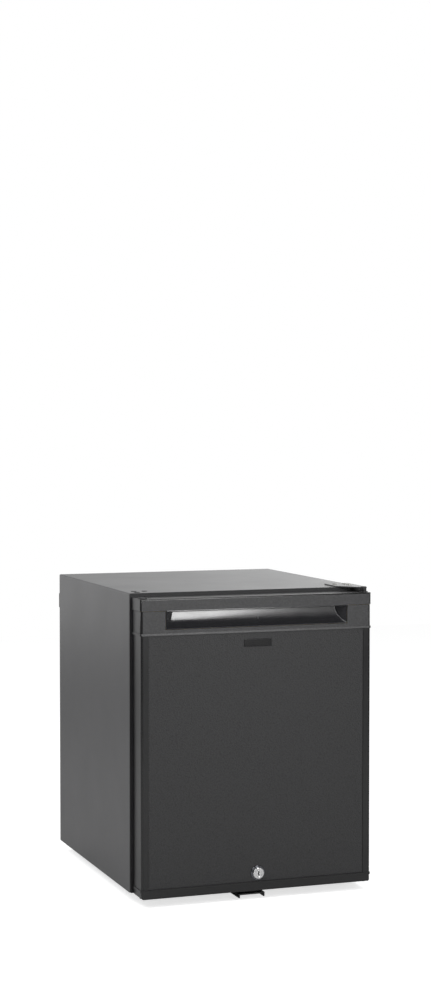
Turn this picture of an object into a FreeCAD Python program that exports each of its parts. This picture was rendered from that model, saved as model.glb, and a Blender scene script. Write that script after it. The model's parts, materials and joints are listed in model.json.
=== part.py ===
"""Minibar fridge with a silent absorption unit: cabinet, cooling unit, hinged door, shelves and racks.

Millimetres. +X is right, +Y is the back and +Z is up. The origin is on the floor, at the
middle of the outer box. The door's front faces -Y and its hinge is on the right.
"""

import FreeCAD, Part
import math
import operator
import os
import Sketcher

from FreeCAD import Placement, Rotation, Vector

SIZES = {
    # Whole fridge
    "cabinet_width": 402.0,
    "cabinet_height": 478.5,
    "cabinet_depth": 422.0,
    "foot_height": 18.0,
    "door_thickness": 42.0,
    "door_side_inset": 3.5,
    "door_top_gap": 6.3,
    "door_gap": 2.0,
    "door_drop": 1.8,
    # Cabinet shell
    "sheet": 0.8,
    "bend_round": 2.5,
    "rear_return": 12.0,
    "base_upstand": 12.0,
    "rear_bay_depth": 90.5,
    "side_insulation": 33.0,
    "top_insulation": 34.0,
    "bottom_insulation": 36.0,
    "rear_insulation": 40.0,
    "frame_thickness": 4.0,
    "vent_margin_side": 100.0,
    "vent_margin_back": 16.0,
    "vent_margin_front": 12.0,
    # Liner
    "liner_wall": 1.6,
    "liner_round": 6.0,
    "liner_flange": 12.0,
    "rib_reach": 7.0,
    "rib_height": 5.0,
    "rib_gap": 7.0,
    "rib_front_setback": 26.5,
    # Feet
    "foot_radius": 17.0,
    "foot_taper": 3.0,
    "foot_inset_side": 64.0,
    "foot_inset_front": 40.5,
    "foot_inset_back": 34.0,
    "foot_bore_radius": 7.0,
    "foot_bore_depth": 11.0,
    "foot_screw_radius": 3.0,
    "foot_screw_head": 5.5,
    "foot_screw_head_height": 3.5,
    "foot_screw_length": 18.0,
    # Hinges
    "hinge_inset_side": 8.0,
    "hinge_inset_front": 13.0,
    "hinge_plate": 2.0,
    "hinge_plate_width": 42.0,
    "hinge_plate_edge": 4.0,
    "hinge_plate_back": 50.5,
    "hinge_nose_radius": 5.5,
    "hinge_pin_radius": 3.0,
    "hinge_pin_depth": 11.0,
    "hinge_collar_radius": 5.0,
    "hinge_head_radius": 4.5,
    "hinge_head_height": 0.9,
    "hinge_fit": 0.05,
    "hinge_axial_play": 0.3,
    "bush_radius": 5.5,
    "bush_flange_radius": 7.0,
    "bush_flange": 1.6,
    "bush_depth": 14.0,
    "lower_bush_foot": 0.2,
    "lower_step_gap": 1.2,
    "hinge_screw_radius": 2.5,
    "hinge_screw_head": 4.6,
    "hinge_screw_head_height": 1.2,
    "hinge_screw_length": 14.0,
    "hinge_screw_pitch": 18.0,
    "hinge_screw_first": 15.0,
    "hinge_screw_side": 17.0,
    "plug_head_height": 0.6,
    # Door skin
    "skin": 2.0,
    "cap_height": 19.5,
    "cap_overhang": 1.2,
    "cap_seam": 0.4,
    "trim_height": 58.0,
    "lip_height": 3.5,
    "lip_reach": 1.2,
    "bottom_trim_height": 14.5,
    "bottom_trim_round": 4.0,
    "strip_width": 12.6,
    "strip_wall": 1.2,
    "panel_sheet": 0.8,
    "panel_inset": 1.2,
    # Handle recess
    "window_side": 43.5,
    "window_height": 28.0,
    "scoop_depth": 16.5,
    "scoop_rise": 27.0,
    "scoop_round": 30.5,
    "scoop_pocket": 9.0,
    "scoop_wall": 1.5,
    "scoop_taper_run": 14.0,
    # Badge
    "badge_width": 47.0,
    "badge_height": 12.5,
    "badge_thickness": 1.0,
    "badge_below_top": 74.6,
    # Lock and strike
    "lock_height": 28.4,
    "lock_proud": 4.0,
    "lock_collar_radius": 12.0,
    "lock_collar": 1.5,
    "lock_face_radius": 9.2,
    "lock_barrel_radius": 8.0,
    "lock_barrel_length": 17.0,
    "lock_plug_radius": 5.5,
    "lock_fit": 0.08,
    "lock_nut_radius": 12.0,
    "lock_nut": 3.0,
    "keyhole_height": 7.0,
    "keyhole_width": 2.2,
    "keyhole_depth": 6.0,
    "cam_length": 37.5,
    "cam_half_width": 4.0,
    "cam_thickness": 2.0,
    "cam_hub_radius": 7.0,
    "cam_play": 0.5,
    "cam_slot_clearance": 1.6,
    "cam_slot_reach": 29.0,
    "strike_drop": 5.0,
    "strike_sheet": 2.5,
    "strike_half_width": 22.4,
    "strike_shift": 8.0,
    "strike_flange": 4.5,
    "strike_front_setback": 7.0,
    "strike_tail": 34.0,
    "strike_slot_reach": 19.5,
    "strike_screw_radius": 2.0,
    "strike_screw_head": 3.8,
    "strike_screw_head_height": 1.6,
    "strike_screw_length": 9.0,
    "strike_screw_side": 12.0,
    # Door liner, gasket and racks
    "door_liner_wall": 1.6,
    "gasket_inset": 11.0,
    "gasket_width": 10.0,
    "gasket_groove": 4.0,
    "gasket_head_width": 13.0,
    "gasket_play": 0.3,
    "dyke_depth": 49.5,
    "dyke_width": 19.0,
    "dyke_side_gap": 14.6,
    "dyke_margin": 22.0,
    "lug_reach": 3.0,
    "lug_height": 4.0,
    "lug_front": 8.0,
    "lug_length": 30.0,
    "rack_wall": 2.2,
    "rack_depth": 43.5,
    "rack_side_play": 1.2,
    "rack_back_play": 1.0,
    "rack_rest_play": 0.3,
    "rack_lip": 3.0,
    "rack_lug_side_play": 0.4,
    "lower_rack_base": 16.0,
    "lower_rack_height": 100.0,
    "middle_rack_lift": 12.0,
    "middle_rack_height": 66.0,
    "upper_rack_top_gap": 9.7,
    "upper_rack_height": 60.0,
    "rack_rail": 14.0,
    "rack_band": 12.0,
    "rack_band_gap": 14.0,
    "rack_corner": 8.0,
    # Shelves
    "shelf_wire": 2.5,
    "shelf_cross_wire": 1.6,
    "shelf_front_setback": 70.5,
    "shelf_back_gap": 6.0,
    "shelf_side_play": 1.6,
    "shelf_rest_play": 0.3,
    "shelf_drip_gap": 19.3,
    "shelf_guard": 18.0,
    # Cooling plate and drip channel
    "cooler_half_width": 84.0,
    "cooler_height": 104.0,
    "cooler_top_gap": 22.0,
    "cooler_plate": 3.0,
    "cooler_fin": 1.6,
    "cooler_fin_depth": 22.0,
    "cooler_screw_radius": 2.0,
    "cooler_screw_head": 4.0,
    "cooler_screw_head_height": 1.8,
    "cooler_screw_length": 12.0,
    "cooler_screw_edge": 5.0,
    "drip_depth": 30.0,
    "drip_height": 12.0,
    "drip_wall": 1.4,
    "drip_gap": 4.0,
    "drip_side_reach": 4.0,
    "drain_radius": 5.0,
    "drain_wall": 1.0,
    "drain_stub": 12.0,
    "sensor_radius": 3.0,
    "sensor_length": 34.0,
    "sensor_clip_half": 3.9,
    "sensor_clip_reach": 9.0,
    # Control housing
    "control_width": 108.0,
    "control_depth": 62.0,
    "control_height": 32.0,
    "control_wall": 2.0,
    "control_right_gap": 12.0,
    "control_setback": 78.5,
    "control_round": 5.0,
    "knob_radius": 12.0,
    "knob_length": 11.0,
    "knob_play": 0.6,
    "knob_offset": 26.0,
    "shaft_radius": 3.0,
    "shaft_fit": 0.05,
    "shaft_tail": 12.0,
    "grip_width": 5.0,
    "grip_reach": 10.2,
    "grip_height": 4.0,
    "lens_width": 44.0,
    "lens_depth": 34.0,
    "lens_thickness": 2.0,
    "lens_offset": 28.0,
    "board_thickness": 1.6,
    "board_gap": 4.0,
    # Cooling unit at the rear
    "unit_gap": 14.0,
    "tube_radius": 8.0,
    "evaporator_radius": 9.0,
    "exchanger_radius": 13.0,
    "exchanger_top_gap": 84.5,
    "coil_radius": 7.0,
    "coil_low": 122.0,
    "coil_inset": 18.0,
    "coil_right": 42.0,
    "vessel_radius": 25.0,
    "vessel_round": 12.0,
    "unit_side_gap": 50.2,
    "vessel_height": 72.0,
    "vessel_stub_radius": 5.0,
    "vessel_stub_length": 19.0,
    "boiler_half_width": 37.0,
    "boiler_depth": 70.0,
    "boiler_low": 36.0,
    "boiler_top_gap": 170.5,
    "boiler_round": 6.0,
    "rectifier_radius": 10.0,
    "rectifier_bend": 20.0,
    "condenser_top_gap": 50.5,
    "fin_thickness": 1.0,
    "fin_half": 24.0,
    "fin_end_gap": 15.5,
    "fin_start": 22.0,
    "fin_collar": 1.0,
    "strap_height": 22.0,
    "strap_sheet": 1.6,
    "strap_tab": 14.0,
    "strap_low": 150.0,
    "strap_top_gap": 196.5,
    "control_box_width": 92.0,
    "control_box_height": 76.0,
    "control_box_depth": 40.0,
    "control_box_side_gap": 22.2,
    "control_box_top_gap": 190.5,
    "control_box_wall": 2.0,
    "lid_lip": 3.0,
    "gland_radius": 7.0,
    "gland_length": 12.0,
    "gland_bore": 3.5,
    "gland_nut_radius": 9.0,
    "gland_nut": 4.0,
    "tray_side_gap": 3.0,
    "tray_depth": 58.0,
    "tray_height": 24.0,
    "tray_wall": 1.6,
    "tray_drop": 40.0,
    "spacer_depth": 8.0,
    "spacer_width": 11.0,
    "spacer_height": 26.0,
    "spacer_below_top": 34.0,
    # How far a cutting tool runs past the face it opens
    "overrun": 5.0,
}

SHELF_BARS = 11
COOLER_FINS = 11
CONDENSER_FINS = 22
# An odd number, so that the last run starts from a bend at the left
COIL_RUNS = 3
# The height from the coil's foot to the control box, in half pitches of the coil
COIL_HALF_PITCHES = 11
# The boiler stands this many parts out of the half width
BOILER_PARTS = 27
HALF_WIDTH_PARTS = 50

doc = FreeCAD.newDocument("minibar_fridge")
sheet = doc.addObject("Spreadsheet::Sheet", "sizes")
for row, (alias, number) in enumerate(SIZES.items(), 1):
    sheet.set(f"A{row}", alias)
    sheet.set(f"B{row}", str(number))
    sheet.setAlias(f"B{row}", alias)
doc.recompute()

# Lengths worked out from the sheet

SIGNS = {"+": operator.add, "-": operator.sub, "*": operator.mul, "/": operator.truediv}


class Length:
    """A length that follows the sheet: its text binds a property, its value seeds a sketch."""

    def __init__(self, text, value):
        self.text = text
        self.value = value

    def __add__(self, other):
        return joined(self, "+", other)

    def __radd__(self, other):
        return joined(other, "+", self)

    def __sub__(self, other):
        return joined(self, "-", other)

    def __rsub__(self, other):
        return joined(other, "-", self)

    def __mul__(self, other):
        return joined(self, "*", other)

    def __truediv__(self, other):
        return joined(self, "/", other)

    def __neg__(self):
        return joined(0, "-", self)


def as_length(number):
    """A plain number as a length, or the length itself."""
    return number if isinstance(number, Length) else Length(repr(number), number)


def joined(left, sign, right):
    """The length that a sum, difference, product or quotient gives."""
    left = as_length(left)
    right = as_length(right)
    return Length(f"({left.text} {sign} {right.text})", SIGNS[sign](left.value, right.value))


class Sizes:
    """Gives each named size of the sheet as a length."""

    def __getattr__(self, alias):
        return Length(f"sizes.{alias}", float(sheet.get(alias)))


size = Sizes()

# Helpers that make shapes bound to those lengths

AXIS_TURNS = {
    "x": Rotation(Vector(0, 1, 0), 90),
    "y": Rotation(Vector(1, 0, 0), -90),
    "z": Rotation(),
}
PLANES = {"x": "YZ_Plane", "y": "XZ_Plane", "z": "XY_Plane"}
nodes = []


def bind(item, path, length):
    """Tie one property of an item to a length."""
    item.setExpression(path, as_length(length).text)


def place(item, x, y, z):
    """Tie an item's position to three lengths."""
    for axis, length in zip("xyz", (x, y, z)):
        bind(item, f"Placement.Base.{axis}", length)


def node(item, label):
    """Name a finished sub-part and keep it for export."""
    item.Label = label
    nodes.append(item)
    return item


def block(name, x, y, z):
    """A box between two lengths on each axis."""
    item = doc.addObject("Part::Box", name)
    for side, (low, high) in zip(("Length", "Width", "Height"), (x, y, z)):
        bind(item, side, high - low)
    place(item, x[0], y[0], z[0])
    return item


def rod(name, axis, start, length, radius):
    """A cylinder that grows from its start along one axis."""
    item = doc.addObject("Part::Cylinder", name)
    item.Placement = Placement(Vector(), AXIS_TURNS[axis])
    bind(item, "Radius", radius)
    bind(item, "Height", length)
    place(item, *start)
    return item


def half_ring(name, centre, bend_radius, tube_radius, first_angle, sweep):
    """Part of a torus that lies in the XZ plane, swept from first_angle, in degrees from +X to +Z."""
    item = doc.addObject("Part::Torus", name)
    turn = Rotation(Vector(1, 0, 0), 90) * Rotation(Vector(0, 0, 1), first_angle)
    item.Placement = Placement(Vector(), turn)
    bind(item, "Radius1", bend_radius)
    bind(item, "Radius2", tube_radius)
    item.Angle3 = sweep
    place(item, *centre)
    return item


def fuse(name, *items):
    """One solid from several."""
    item = doc.addObject("Part::MultiFuse", name)
    item.Shapes = list(items)
    return item


def group(name, *items):
    """Separate solids kept together as one sub-part."""
    item = doc.addObject("Part::Compound", name)
    item.Links = list(items)
    return item


def cut(name, base, *tools):
    """A base with one or more tools taken away."""
    item = doc.addObject("Part::Cut", name)
    item.Base = base
    item.Tool = tools[0] if len(tools) == 1 else group(f"{name}_tools", *tools)
    return item


def common(name, first, second):
    """The space that two shapes share."""
    item = doc.addObject("Part::Common", name)
    item.Base = first
    item.Tool = second
    return item


def draw(sketch, outline):
    """Draw a closed outline of points; a point with a third value starts an arc of that radius.

    A positive arc turns left, which is anticlockwise, and a negative one turns right.
    """
    count = len(outline)
    ends = []
    for index, point in enumerate(outline):
        after = outline[(index + 1) % count]
        start = Vector(as_length(point[0]).value, as_length(point[1]).value, 0)
        stop = Vector(as_length(after[0]).value, as_length(after[1]).value, 0)
        if len(point) == 2:
            sketch.addGeometry(Part.LineSegment(start, stop), False)
            ends.append((1, 2))
            continue
        radius = as_length(point[2]).value
        turn = math.copysign(1, radius)
        chord = stop - start
        across = Vector(-chord.y, chord.x, 0).normalize() * turn
        rise = math.sqrt(max(radius**2 - (chord.Length / 2) ** 2, 0))
        centre = start + chord / 2 + across * rise
        circle = Part.Circle(centre, Vector(0, 0, 1), abs(radius))
        first, last = (start, stop) if turn > 0 else (stop, start)
        angles = [math.atan2(spot.y - centre.y, spot.x - centre.x) for spot in (first, last)]
        sketch.addGeometry(Part.ArcOfCircle(circle, *angles), False)
        ends.append((1, 2) if turn > 0 else (2, 1))
    for index in range(count):
        after = (index + 1) % count
        sketch.addConstraint(Sketcher.Constraint("Coincident", index, ends[index][1], after, ends[after][0]))
    for index, point in enumerate(outline):
        for kind, length in zip(("DistanceX", "DistanceY"), point):
            seed = as_length(length).value
            number = sketch.addConstraint(Sketcher.Constraint(kind, -1, 1, index, ends[index][0], seed))
            sketch.setExpression(f"Constraints[{number}]", as_length(length).text)
        if len(point) == 3:
            radius = point[2] if as_length(point[2]).value > 0 else -point[2]
            number = sketch.addConstraint(Sketcher.Constraint("Radius", index, as_length(radius).value))
            sketch.setExpression(f"Constraints[{number}]", as_length(radius).text)


def sketch_on(body, name, axis, offset, outline):
    """A sketch square to one axis, at an offset along it."""
    sketch = body.newObject("Sketcher::SketchObject", name)
    plane = [item for item in body.Origin.OriginFeatures if item.Role == PLANES[axis]][0]
    sketch.AttachmentSupport = [(plane, "")]
    sketch.MapMode = "FlatFace"
    bind(sketch, "AttachmentOffset.Base.z", -offset if axis == "y" else offset)
    draw(sketch, outline)
    return sketch


def prism(name, axis, low, high, outline):
    """A body padded along one axis; its outline is (x, y), (x, z) or (y, z)."""
    body = doc.addObject("PartDesign::Body", name)
    pad = body.newObject("PartDesign::Pad", f"{name}_pad")
    pad.Profile = sketch_on(body, f"{name}_outline", axis, low, outline)
    bind(pad, "Length", high - low)
    pad.Reversed = axis == "y"
    return body


def lathe(name, centre, outline):
    """A body turned about a vertical line; its outline is (radius, height)."""
    body = doc.addObject("PartDesign::Body", name)
    sketch = sketch_on(body, f"{name}_outline", "y", as_length(0), outline)
    turn = body.newObject("PartDesign::Revolution", f"{name}_turn")
    turn.Profile = sketch
    turn.ReferenceAxis = (sketch, ["V_Axis"])
    turn.Angle = 360
    place(body, *centre)
    return body


def rectangle(across, up):
    """The four corners of a rectangle between two lengths each way."""
    return [(across[0], up[0]), (across[1], up[0]), (across[1], up[1]), (across[0], up[1])]


def rounded(name, axis, x, y, z, radius):
    """A box whose four edges along one axis are rounded."""
    spans = {"x": (x, y, z), "y": (y, x, z), "z": (z, x, y)}[axis]
    body = prism(name, axis, spans[0][0], spans[0][1], rectangle(spans[1], spans[2]))
    doc.recompute()
    pad = body.Tip
    along = {"x": Vector(1, 0, 0), "y": Vector(0, 1, 0), "z": Vector(0, 0, 1)}[axis]
    edges = []
    for number, edge in enumerate(pad.Shape.Edges, 1):
        run = edge.Vertexes[-1].Point - edge.Vertexes[0].Point
        if abs(run.normalize().dot(along)) > 0.5:
            edges.append(f"Edge{number}")
    fillet = body.newObject("PartDesign::Fillet", f"{name}_fillet")
    fillet.Base = (pad, edges)
    bind(fillet, "Radius", radius)
    return body


def screw(name, x, y, z, radius, length, head_radius, head_height, upward=True):
    """A pan head screw under z that points up, or on top of z that points down."""
    if upward:
        head = rod(f"{name}_head", "z", (x, y, z - head_height), head_height, head_radius)
        shank = rod(f"{name}_shank", "z", (x, y, z), length, radius)
    else:
        head = rod(f"{name}_head", "z", (x, y, z), head_height, head_radius)
        shank = rod(f"{name}_shank", "z", (x, y, z - length), length, radius)
    return fuse(name, head, shank)


# Where the main pieces lie

half_width = size.cabinet_width / 2
total_depth = (
    size.lock_proud + size.door_thickness + size.door_gap + size.cabinet_depth + size.spacer_depth
)
door_front = size.lock_proud - total_depth / 2
door_back = door_front + size.door_thickness
cabinet_front = door_back + size.door_gap
cabinet_back = cabinet_front + size.cabinet_depth
cabinet_bottom = size.foot_height
cabinet_top = cabinet_bottom + size.cabinet_height
door_bottom = cabinet_bottom - size.door_drop
door_top = cabinet_top - size.door_top_gap
door_width = size.cabinet_width - size.door_side_inset * 2

inner_half = half_width - size.sheet
shell_front = cabinet_front + size.frame_thickness
box_back = cabinet_back - size.rear_bay_depth
rear_face = box_back - size.sheet
base_top = cabinet_bottom + size.sheet
roof = cabinet_top - size.sheet

liner_half = inner_half - size.side_insulation
liner_top = roof - size.top_insulation
liner_bottom = base_top + size.bottom_insulation
liner_back = rear_face - size.rear_insulation
cavity_half = liner_half - size.liner_wall
cavity_top = liner_top - size.liner_wall
cavity_bottom = liner_bottom + size.liner_wall
cavity_back = liner_back - size.liner_wall

hinge_x = door_width / 2 - size.hinge_inset_side
hinge_y = door_front + size.hinge_inset_front
door_half = door_width / 2 - size.cap_overhang
lock_z = door_bottom + size.lock_height
cam_y = door_front + size.lock_barrel_length + size.cam_play

# Screws and holes that several pieces share

hinge_spots = [
    (half_width - size.hinge_screw_side, cabinet_front + size.hinge_screw_first),
    (half_width - size.hinge_screw_side, cabinet_front + size.hinge_screw_first + size.hinge_screw_pitch),
    (
        half_width - size.hinge_screw_side - size.hinge_screw_pitch,
        cabinet_front + size.hinge_screw_first + size.hinge_screw_pitch,
    ),
]
foot_spots = [
    (side * (half_width - size.foot_inset_side), back)
    for back in (cabinet_front + size.foot_inset_front, cabinet_back - size.foot_inset_back)
    for side in (Length("(0 - 1)", -1.0), Length("1", 1.0))
]
strike_screw_y = cabinet_front + size.strike_tail / 2 + size.frame_thickness
strike_spots = [
    (side * size.strike_screw_side - size.strike_shift, strike_screw_y)
    for side in (Length("(0 - 1)", -1.0), Length("1", 1.0))
]


def drills(name, spots, z, length, radius):
    """Vertical holes at several places, kept as one tool."""
    items = [rod(f"{name}_{number}", "z", (x, y, z), length, radius) for number, (x, y) in enumerate(spots)]
    return group(name, *items)


top_drill_low = cabinet_top - size.hinge_screw_length + size.hinge_plate
top_drill_length = size.hinge_screw_length + size.overrun
mirrored_spots = [(-x, y) for x, y in hinge_spots]
top_drills = drills(
    "top_drills", hinge_spots + mirrored_spots, top_drill_low, top_drill_length, size.hinge_screw_radius
)
foot_drills = drills(
    "foot_drills",
    foot_spots,
    cabinet_bottom - size.foot_height,
    size.foot_bore_depth + size.foot_screw_length,
    size.foot_screw_radius,
)
lower_hinge_drills = drills(
    "lower_hinge_drills",
    hinge_spots,
    cabinet_bottom - size.hinge_plate,
    size.hinge_screw_length,
    size.hinge_screw_radius,
)
strike_drills = drills(
    "strike_drills",
    strike_spots,
    cabinet_bottom - size.strike_sheet,
    size.strike_screw_length,
    size.strike_screw_radius,
)


def make_outer_wrapper():
    """One sheet folded over the top and both sides, with returns at the back."""
    low = cabinet_bottom
    bend = size.bend_round
    inside = size.bend_round - size.sheet
    outline = [
        (-half_width, low),
        (-half_width, cabinet_top - bend, -bend),
        (-half_width + bend, cabinet_top),
        (half_width - bend, cabinet_top, -bend),
        (half_width, cabinet_top - bend),
        (half_width, low),
        (inner_half, low),
        (inner_half, cabinet_top - bend, inside),
        (half_width - bend, roof),
        (-half_width + bend, roof, inside),
        (-inner_half, cabinet_top - bend),
        (-inner_half, low),
    ]
    fold = prism("wrapper_fold", "y", shell_front, cabinet_back, outline)
    returns = []
    for name, span in (
        ("left", (-inner_half, -inner_half + size.rear_return)),
        ("right", (inner_half - size.rear_return, inner_half)),
    ):
        returns.append(
            block(f"wrapper_return_{name}", span, (cabinet_back - size.sheet, cabinet_back), (base_top, roof))
        )
    whole = fuse("wrapper_whole", fold, *returns)
    node(cut("wrapper", whole, top_drills), "outer_wrapper")


def make_base_panel():
    """The base pan, with upstands at its sides and an air opening under the cooling unit."""
    span_y = (shell_front, cabinet_back - size.sheet)
    plate = block("base_plate", (-inner_half, inner_half), span_y, (cabinet_bottom, base_top))
    upstand = (base_top, base_top + size.base_upstand)
    left = block("base_left", (-inner_half, -inner_half + size.sheet), span_y, upstand)
    right = block("base_right", (inner_half - size.sheet, inner_half), span_y, upstand)
    vent_half = half_width - size.vent_margin_side
    vent = block(
        "base_vent",
        (-vent_half, vent_half),
        (box_back + size.vent_margin_front, cabinet_back - size.vent_margin_back),
        (cabinet_bottom - size.overrun, base_top + size.overrun),
    )
    whole = fuse("base_whole", plate, left, right)
    return node(cut("base", whole, vent, foot_drills, lower_hinge_drills, strike_drills), "base_panel")


evaporator_z = liner_top - size.cooler_top_gap - size.cooler_height / 2
drain_z = evaporator_z - size.cooler_height / 2 - size.drip_gap - size.drip_height / 2
upper_shelf_height = drain_z - size.drip_height / 2 - size.shelf_drip_gap - cavity_bottom
lower_shelf_height = upper_shelf_height / 2
unit_y = box_back + size.unit_gap + size.exchanger_radius
control_box_low = cabinet_top - size.control_box_top_gap
control_box_left = inner_half - size.control_box_side_gap
vessel_left = inner_half - size.unit_side_gap
boiler_x = inner_half * BOILER_PARTS / HALF_WIDTH_PARTS
boiler_left = boiler_x - size.boiler_half_width
boiler_high = cabinet_top - size.boiler_top_gap
vessel_right = boiler_left - size.vessel_stub_length
coil_left = vessel_left - size.coil_inset
coil_pitch = (control_box_low - size.coil_low) * 2 / COIL_HALF_PITCHES
exchanger_low = size.coil_low + coil_pitch * (COIL_RUNS - 1) - size.coil_radius
exchanger_high = cabinet_top - size.exchanger_top_gap
condenser_z = cabinet_top - size.condenser_top_gap
strap_high = cabinet_top - size.strap_top_gap
drain_x = (size.exchanger_radius + boiler_left) / 2
tray_half = (boiler_left - size.exchanger_radius) / 2 - size.tray_side_gap
wall_holes = group(
    "wall_holes",
    rod("evaporator_hole", "y", (as_length(0), cavity_back - size.overrun, evaporator_z),
        size.rear_insulation + size.liner_wall + size.overrun * 2, size.evaporator_radius),
    rod("drain_hole", "y", (drain_x, cavity_back - size.overrun, drain_z),
        size.rear_insulation + size.liner_wall + size.overrun * 2, size.drain_radius),
)


def make_rear_panel():
    """The sheet that closes the insulated box, in front of the cooling unit."""
    side = inner_half - size.sheet
    sheet_block = block("rear_sheet", (-side, side), (rear_face, box_back), (base_top, roof - size.sheet))
    node(cut("rear", sheet_block, wall_holes), "rear_panel")


def make_inner_liner():
    """The moulded liner: a five-sided box with a front flange and ledges for the shelves."""
    depth = (shell_front, liner_back)
    outer = rounded("liner_outer", "y", (-liner_half, liner_half), depth, (liner_bottom, liner_top),
                    size.liner_round)
    flange = block(
        "liner_flange_plate",
        (-liner_half - size.liner_flange, liner_half + size.liner_flange),
        (shell_front, shell_front + size.liner_wall),
        (liner_bottom - size.liner_flange, liner_top + size.liner_flange),
    )
    inner = rounded(
        "liner_inner",
        "y",
        (-cavity_half, cavity_half),
        (shell_front - size.overrun, cavity_back),
        (cavity_bottom, cavity_top),
        size.liner_round - size.liner_wall,
    )
    whole = fuse("liner_whole", outer, flange)
    shell = cut("liner_shell", whole, inner, wall_holes, cooler_drills)
    ribs = []
    for shelf, height in (("lower", lower_shelf_height), ("upper", upper_shelf_height)):
        ledge_top = cavity_bottom + height
        keeper = ledge_top + size.rib_gap
        for level, low in (("ledge", ledge_top - size.rib_height), ("keeper", keeper)):
            for side, span in (
                ("left", (-cavity_half, -cavity_half + size.rib_reach)),
                ("right", (cavity_half - size.rib_reach, cavity_half)),
            ):
                ribs.append(
                    block(
                        f"rib_{shelf}_{level}_{side}",
                        span,
                        (shell_front + size.rib_front_setback, cavity_back),
                        (low, low + size.rib_height),
                    )
                )
    node(fuse("liner", shell, *ribs), "inner_liner")
    return outer, flange


cooler_half = size.cooler_half_width
cooler_low = evaporator_z - size.cooler_height / 2
cooler_high = evaporator_z + size.cooler_height / 2
cooler_face = cavity_back - size.cooler_plate
cooler_spots = [
    (x, z)
    for x in (-cooler_half + size.cooler_screw_edge, cooler_half - size.cooler_screw_edge)
    for z in (cooler_low + size.cooler_screw_edge, cooler_high - size.cooler_screw_edge)
]
cooler_drills = group(
    "cooler_drills",
    *[
        rod(f"cooler_drill_{number}", "y", (x, cooler_face, z), size.cooler_screw_length,
            size.cooler_screw_radius)
        for number, (x, z) in enumerate(cooler_spots)
    ],
)


def make_cabinet_foam(liner_outer, liner_flange, base):
    """Rigid foam that fills the space between the shell and the liner."""
    full = block("foam_full", (-inner_half, inner_half), (shell_front, rear_face), (base_top, roof))
    bend = size.bend_round
    corner = rounded(
        "foam_corner",
        "y",
        (-inner_half, inner_half),
        (shell_front, rear_face),
        (base_top - bend, roof),
        bend - size.sheet,
    )
    body = common("foam_body", full, corner)
    tools = (
        liner_outer, liner_flange, base, wall_holes, cooler_drills, top_drills, foot_drills,
        lower_hinge_drills, strike_drills,
    )
    node(cut("foam", body, *tools), "cabinet_foam")


def make_front_frame():
    """The black frame round the opening, which the door's gasket meets."""
    outer = rounded(
        "frame_outer",
        "y",
        (-half_width, half_width),
        (cabinet_front, shell_front),
        (cabinet_bottom, cabinet_top),
        size.bend_round,
    )
    inner = rounded(
        "frame_inner",
        "y",
        (-cavity_half, cavity_half),
        (cabinet_front - size.overrun, shell_front + size.overrun),
        (cavity_bottom, cavity_top),
        size.liner_round - size.liner_wall,
    )
    node(cut("frame", outer, inner), "front_frame")


def make_top_hinge():
    """The flat hinge plate on the cabinet, its riveted pin and its screws."""
    right = half_width - size.hinge_plate_edge
    left = right - size.hinge_plate_width
    back = cabinet_front + size.hinge_plate_back
    nose = size.hinge_nose_radius
    z = (cabinet_top, cabinet_top + size.hinge_plate)
    outline = [
        (left, back),
        (left, cabinet_front),
        (hinge_x - nose, hinge_y, nose),
        (hinge_x, hinge_y - nose, nose),
        (hinge_x + nose, hinge_y),
        (right, cabinet_front),
        (right, back),
    ]
    plate = prism("top_hinge_outline", "z", z[0], z[1], outline)
    bore = rod("top_hinge_bore", "z", (hinge_x, hinge_y, z[0] - size.overrun),
               size.hinge_plate + size.overrun * 2, size.hinge_pin_radius)
    node(cut("top_hinge", plate, bore, top_drills), "top_hinge_plate")
    seat = door_top + size.bush_flange + size.hinge_axial_play
    tip = door_top - size.hinge_pin_depth
    pin = fuse(
        "top_pin",
        rod("top_pin_shank", "z", (hinge_x, hinge_y, tip), z[1] - tip, size.hinge_pin_radius),
        rod("top_pin_collar", "z", (hinge_x, hinge_y, seat), z[0] - seat, size.hinge_collar_radius),
        rod("top_pin_head", "z", (hinge_x, hinge_y, z[1]), size.hinge_head_height, size.hinge_head_radius),
    )
    node(pin, "top_hinge_pin")
    screws = [
        screw(f"top_hinge_screw_{number}", x, y, z[1], size.hinge_screw_radius, size.hinge_screw_length,
              size.hinge_screw_head, size.hinge_screw_head_height, upward=False)
        for number, (x, y) in enumerate(hinge_spots)
    ]
    node(group("top_screws", *screws), "top_hinge_screws")
    plugs = [
        screw(f"hole_plug_{number}", x, y, cabinet_top, size.hinge_screw_radius,
              size.hinge_screw_length - size.hinge_plate, size.hinge_screw_head, size.plug_head_height,
              upward=False)
        for number, (x, y) in enumerate(mirrored_spots)
    ]
    node(group("plugs", *plugs), "hinge_hole_plugs")


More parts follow.
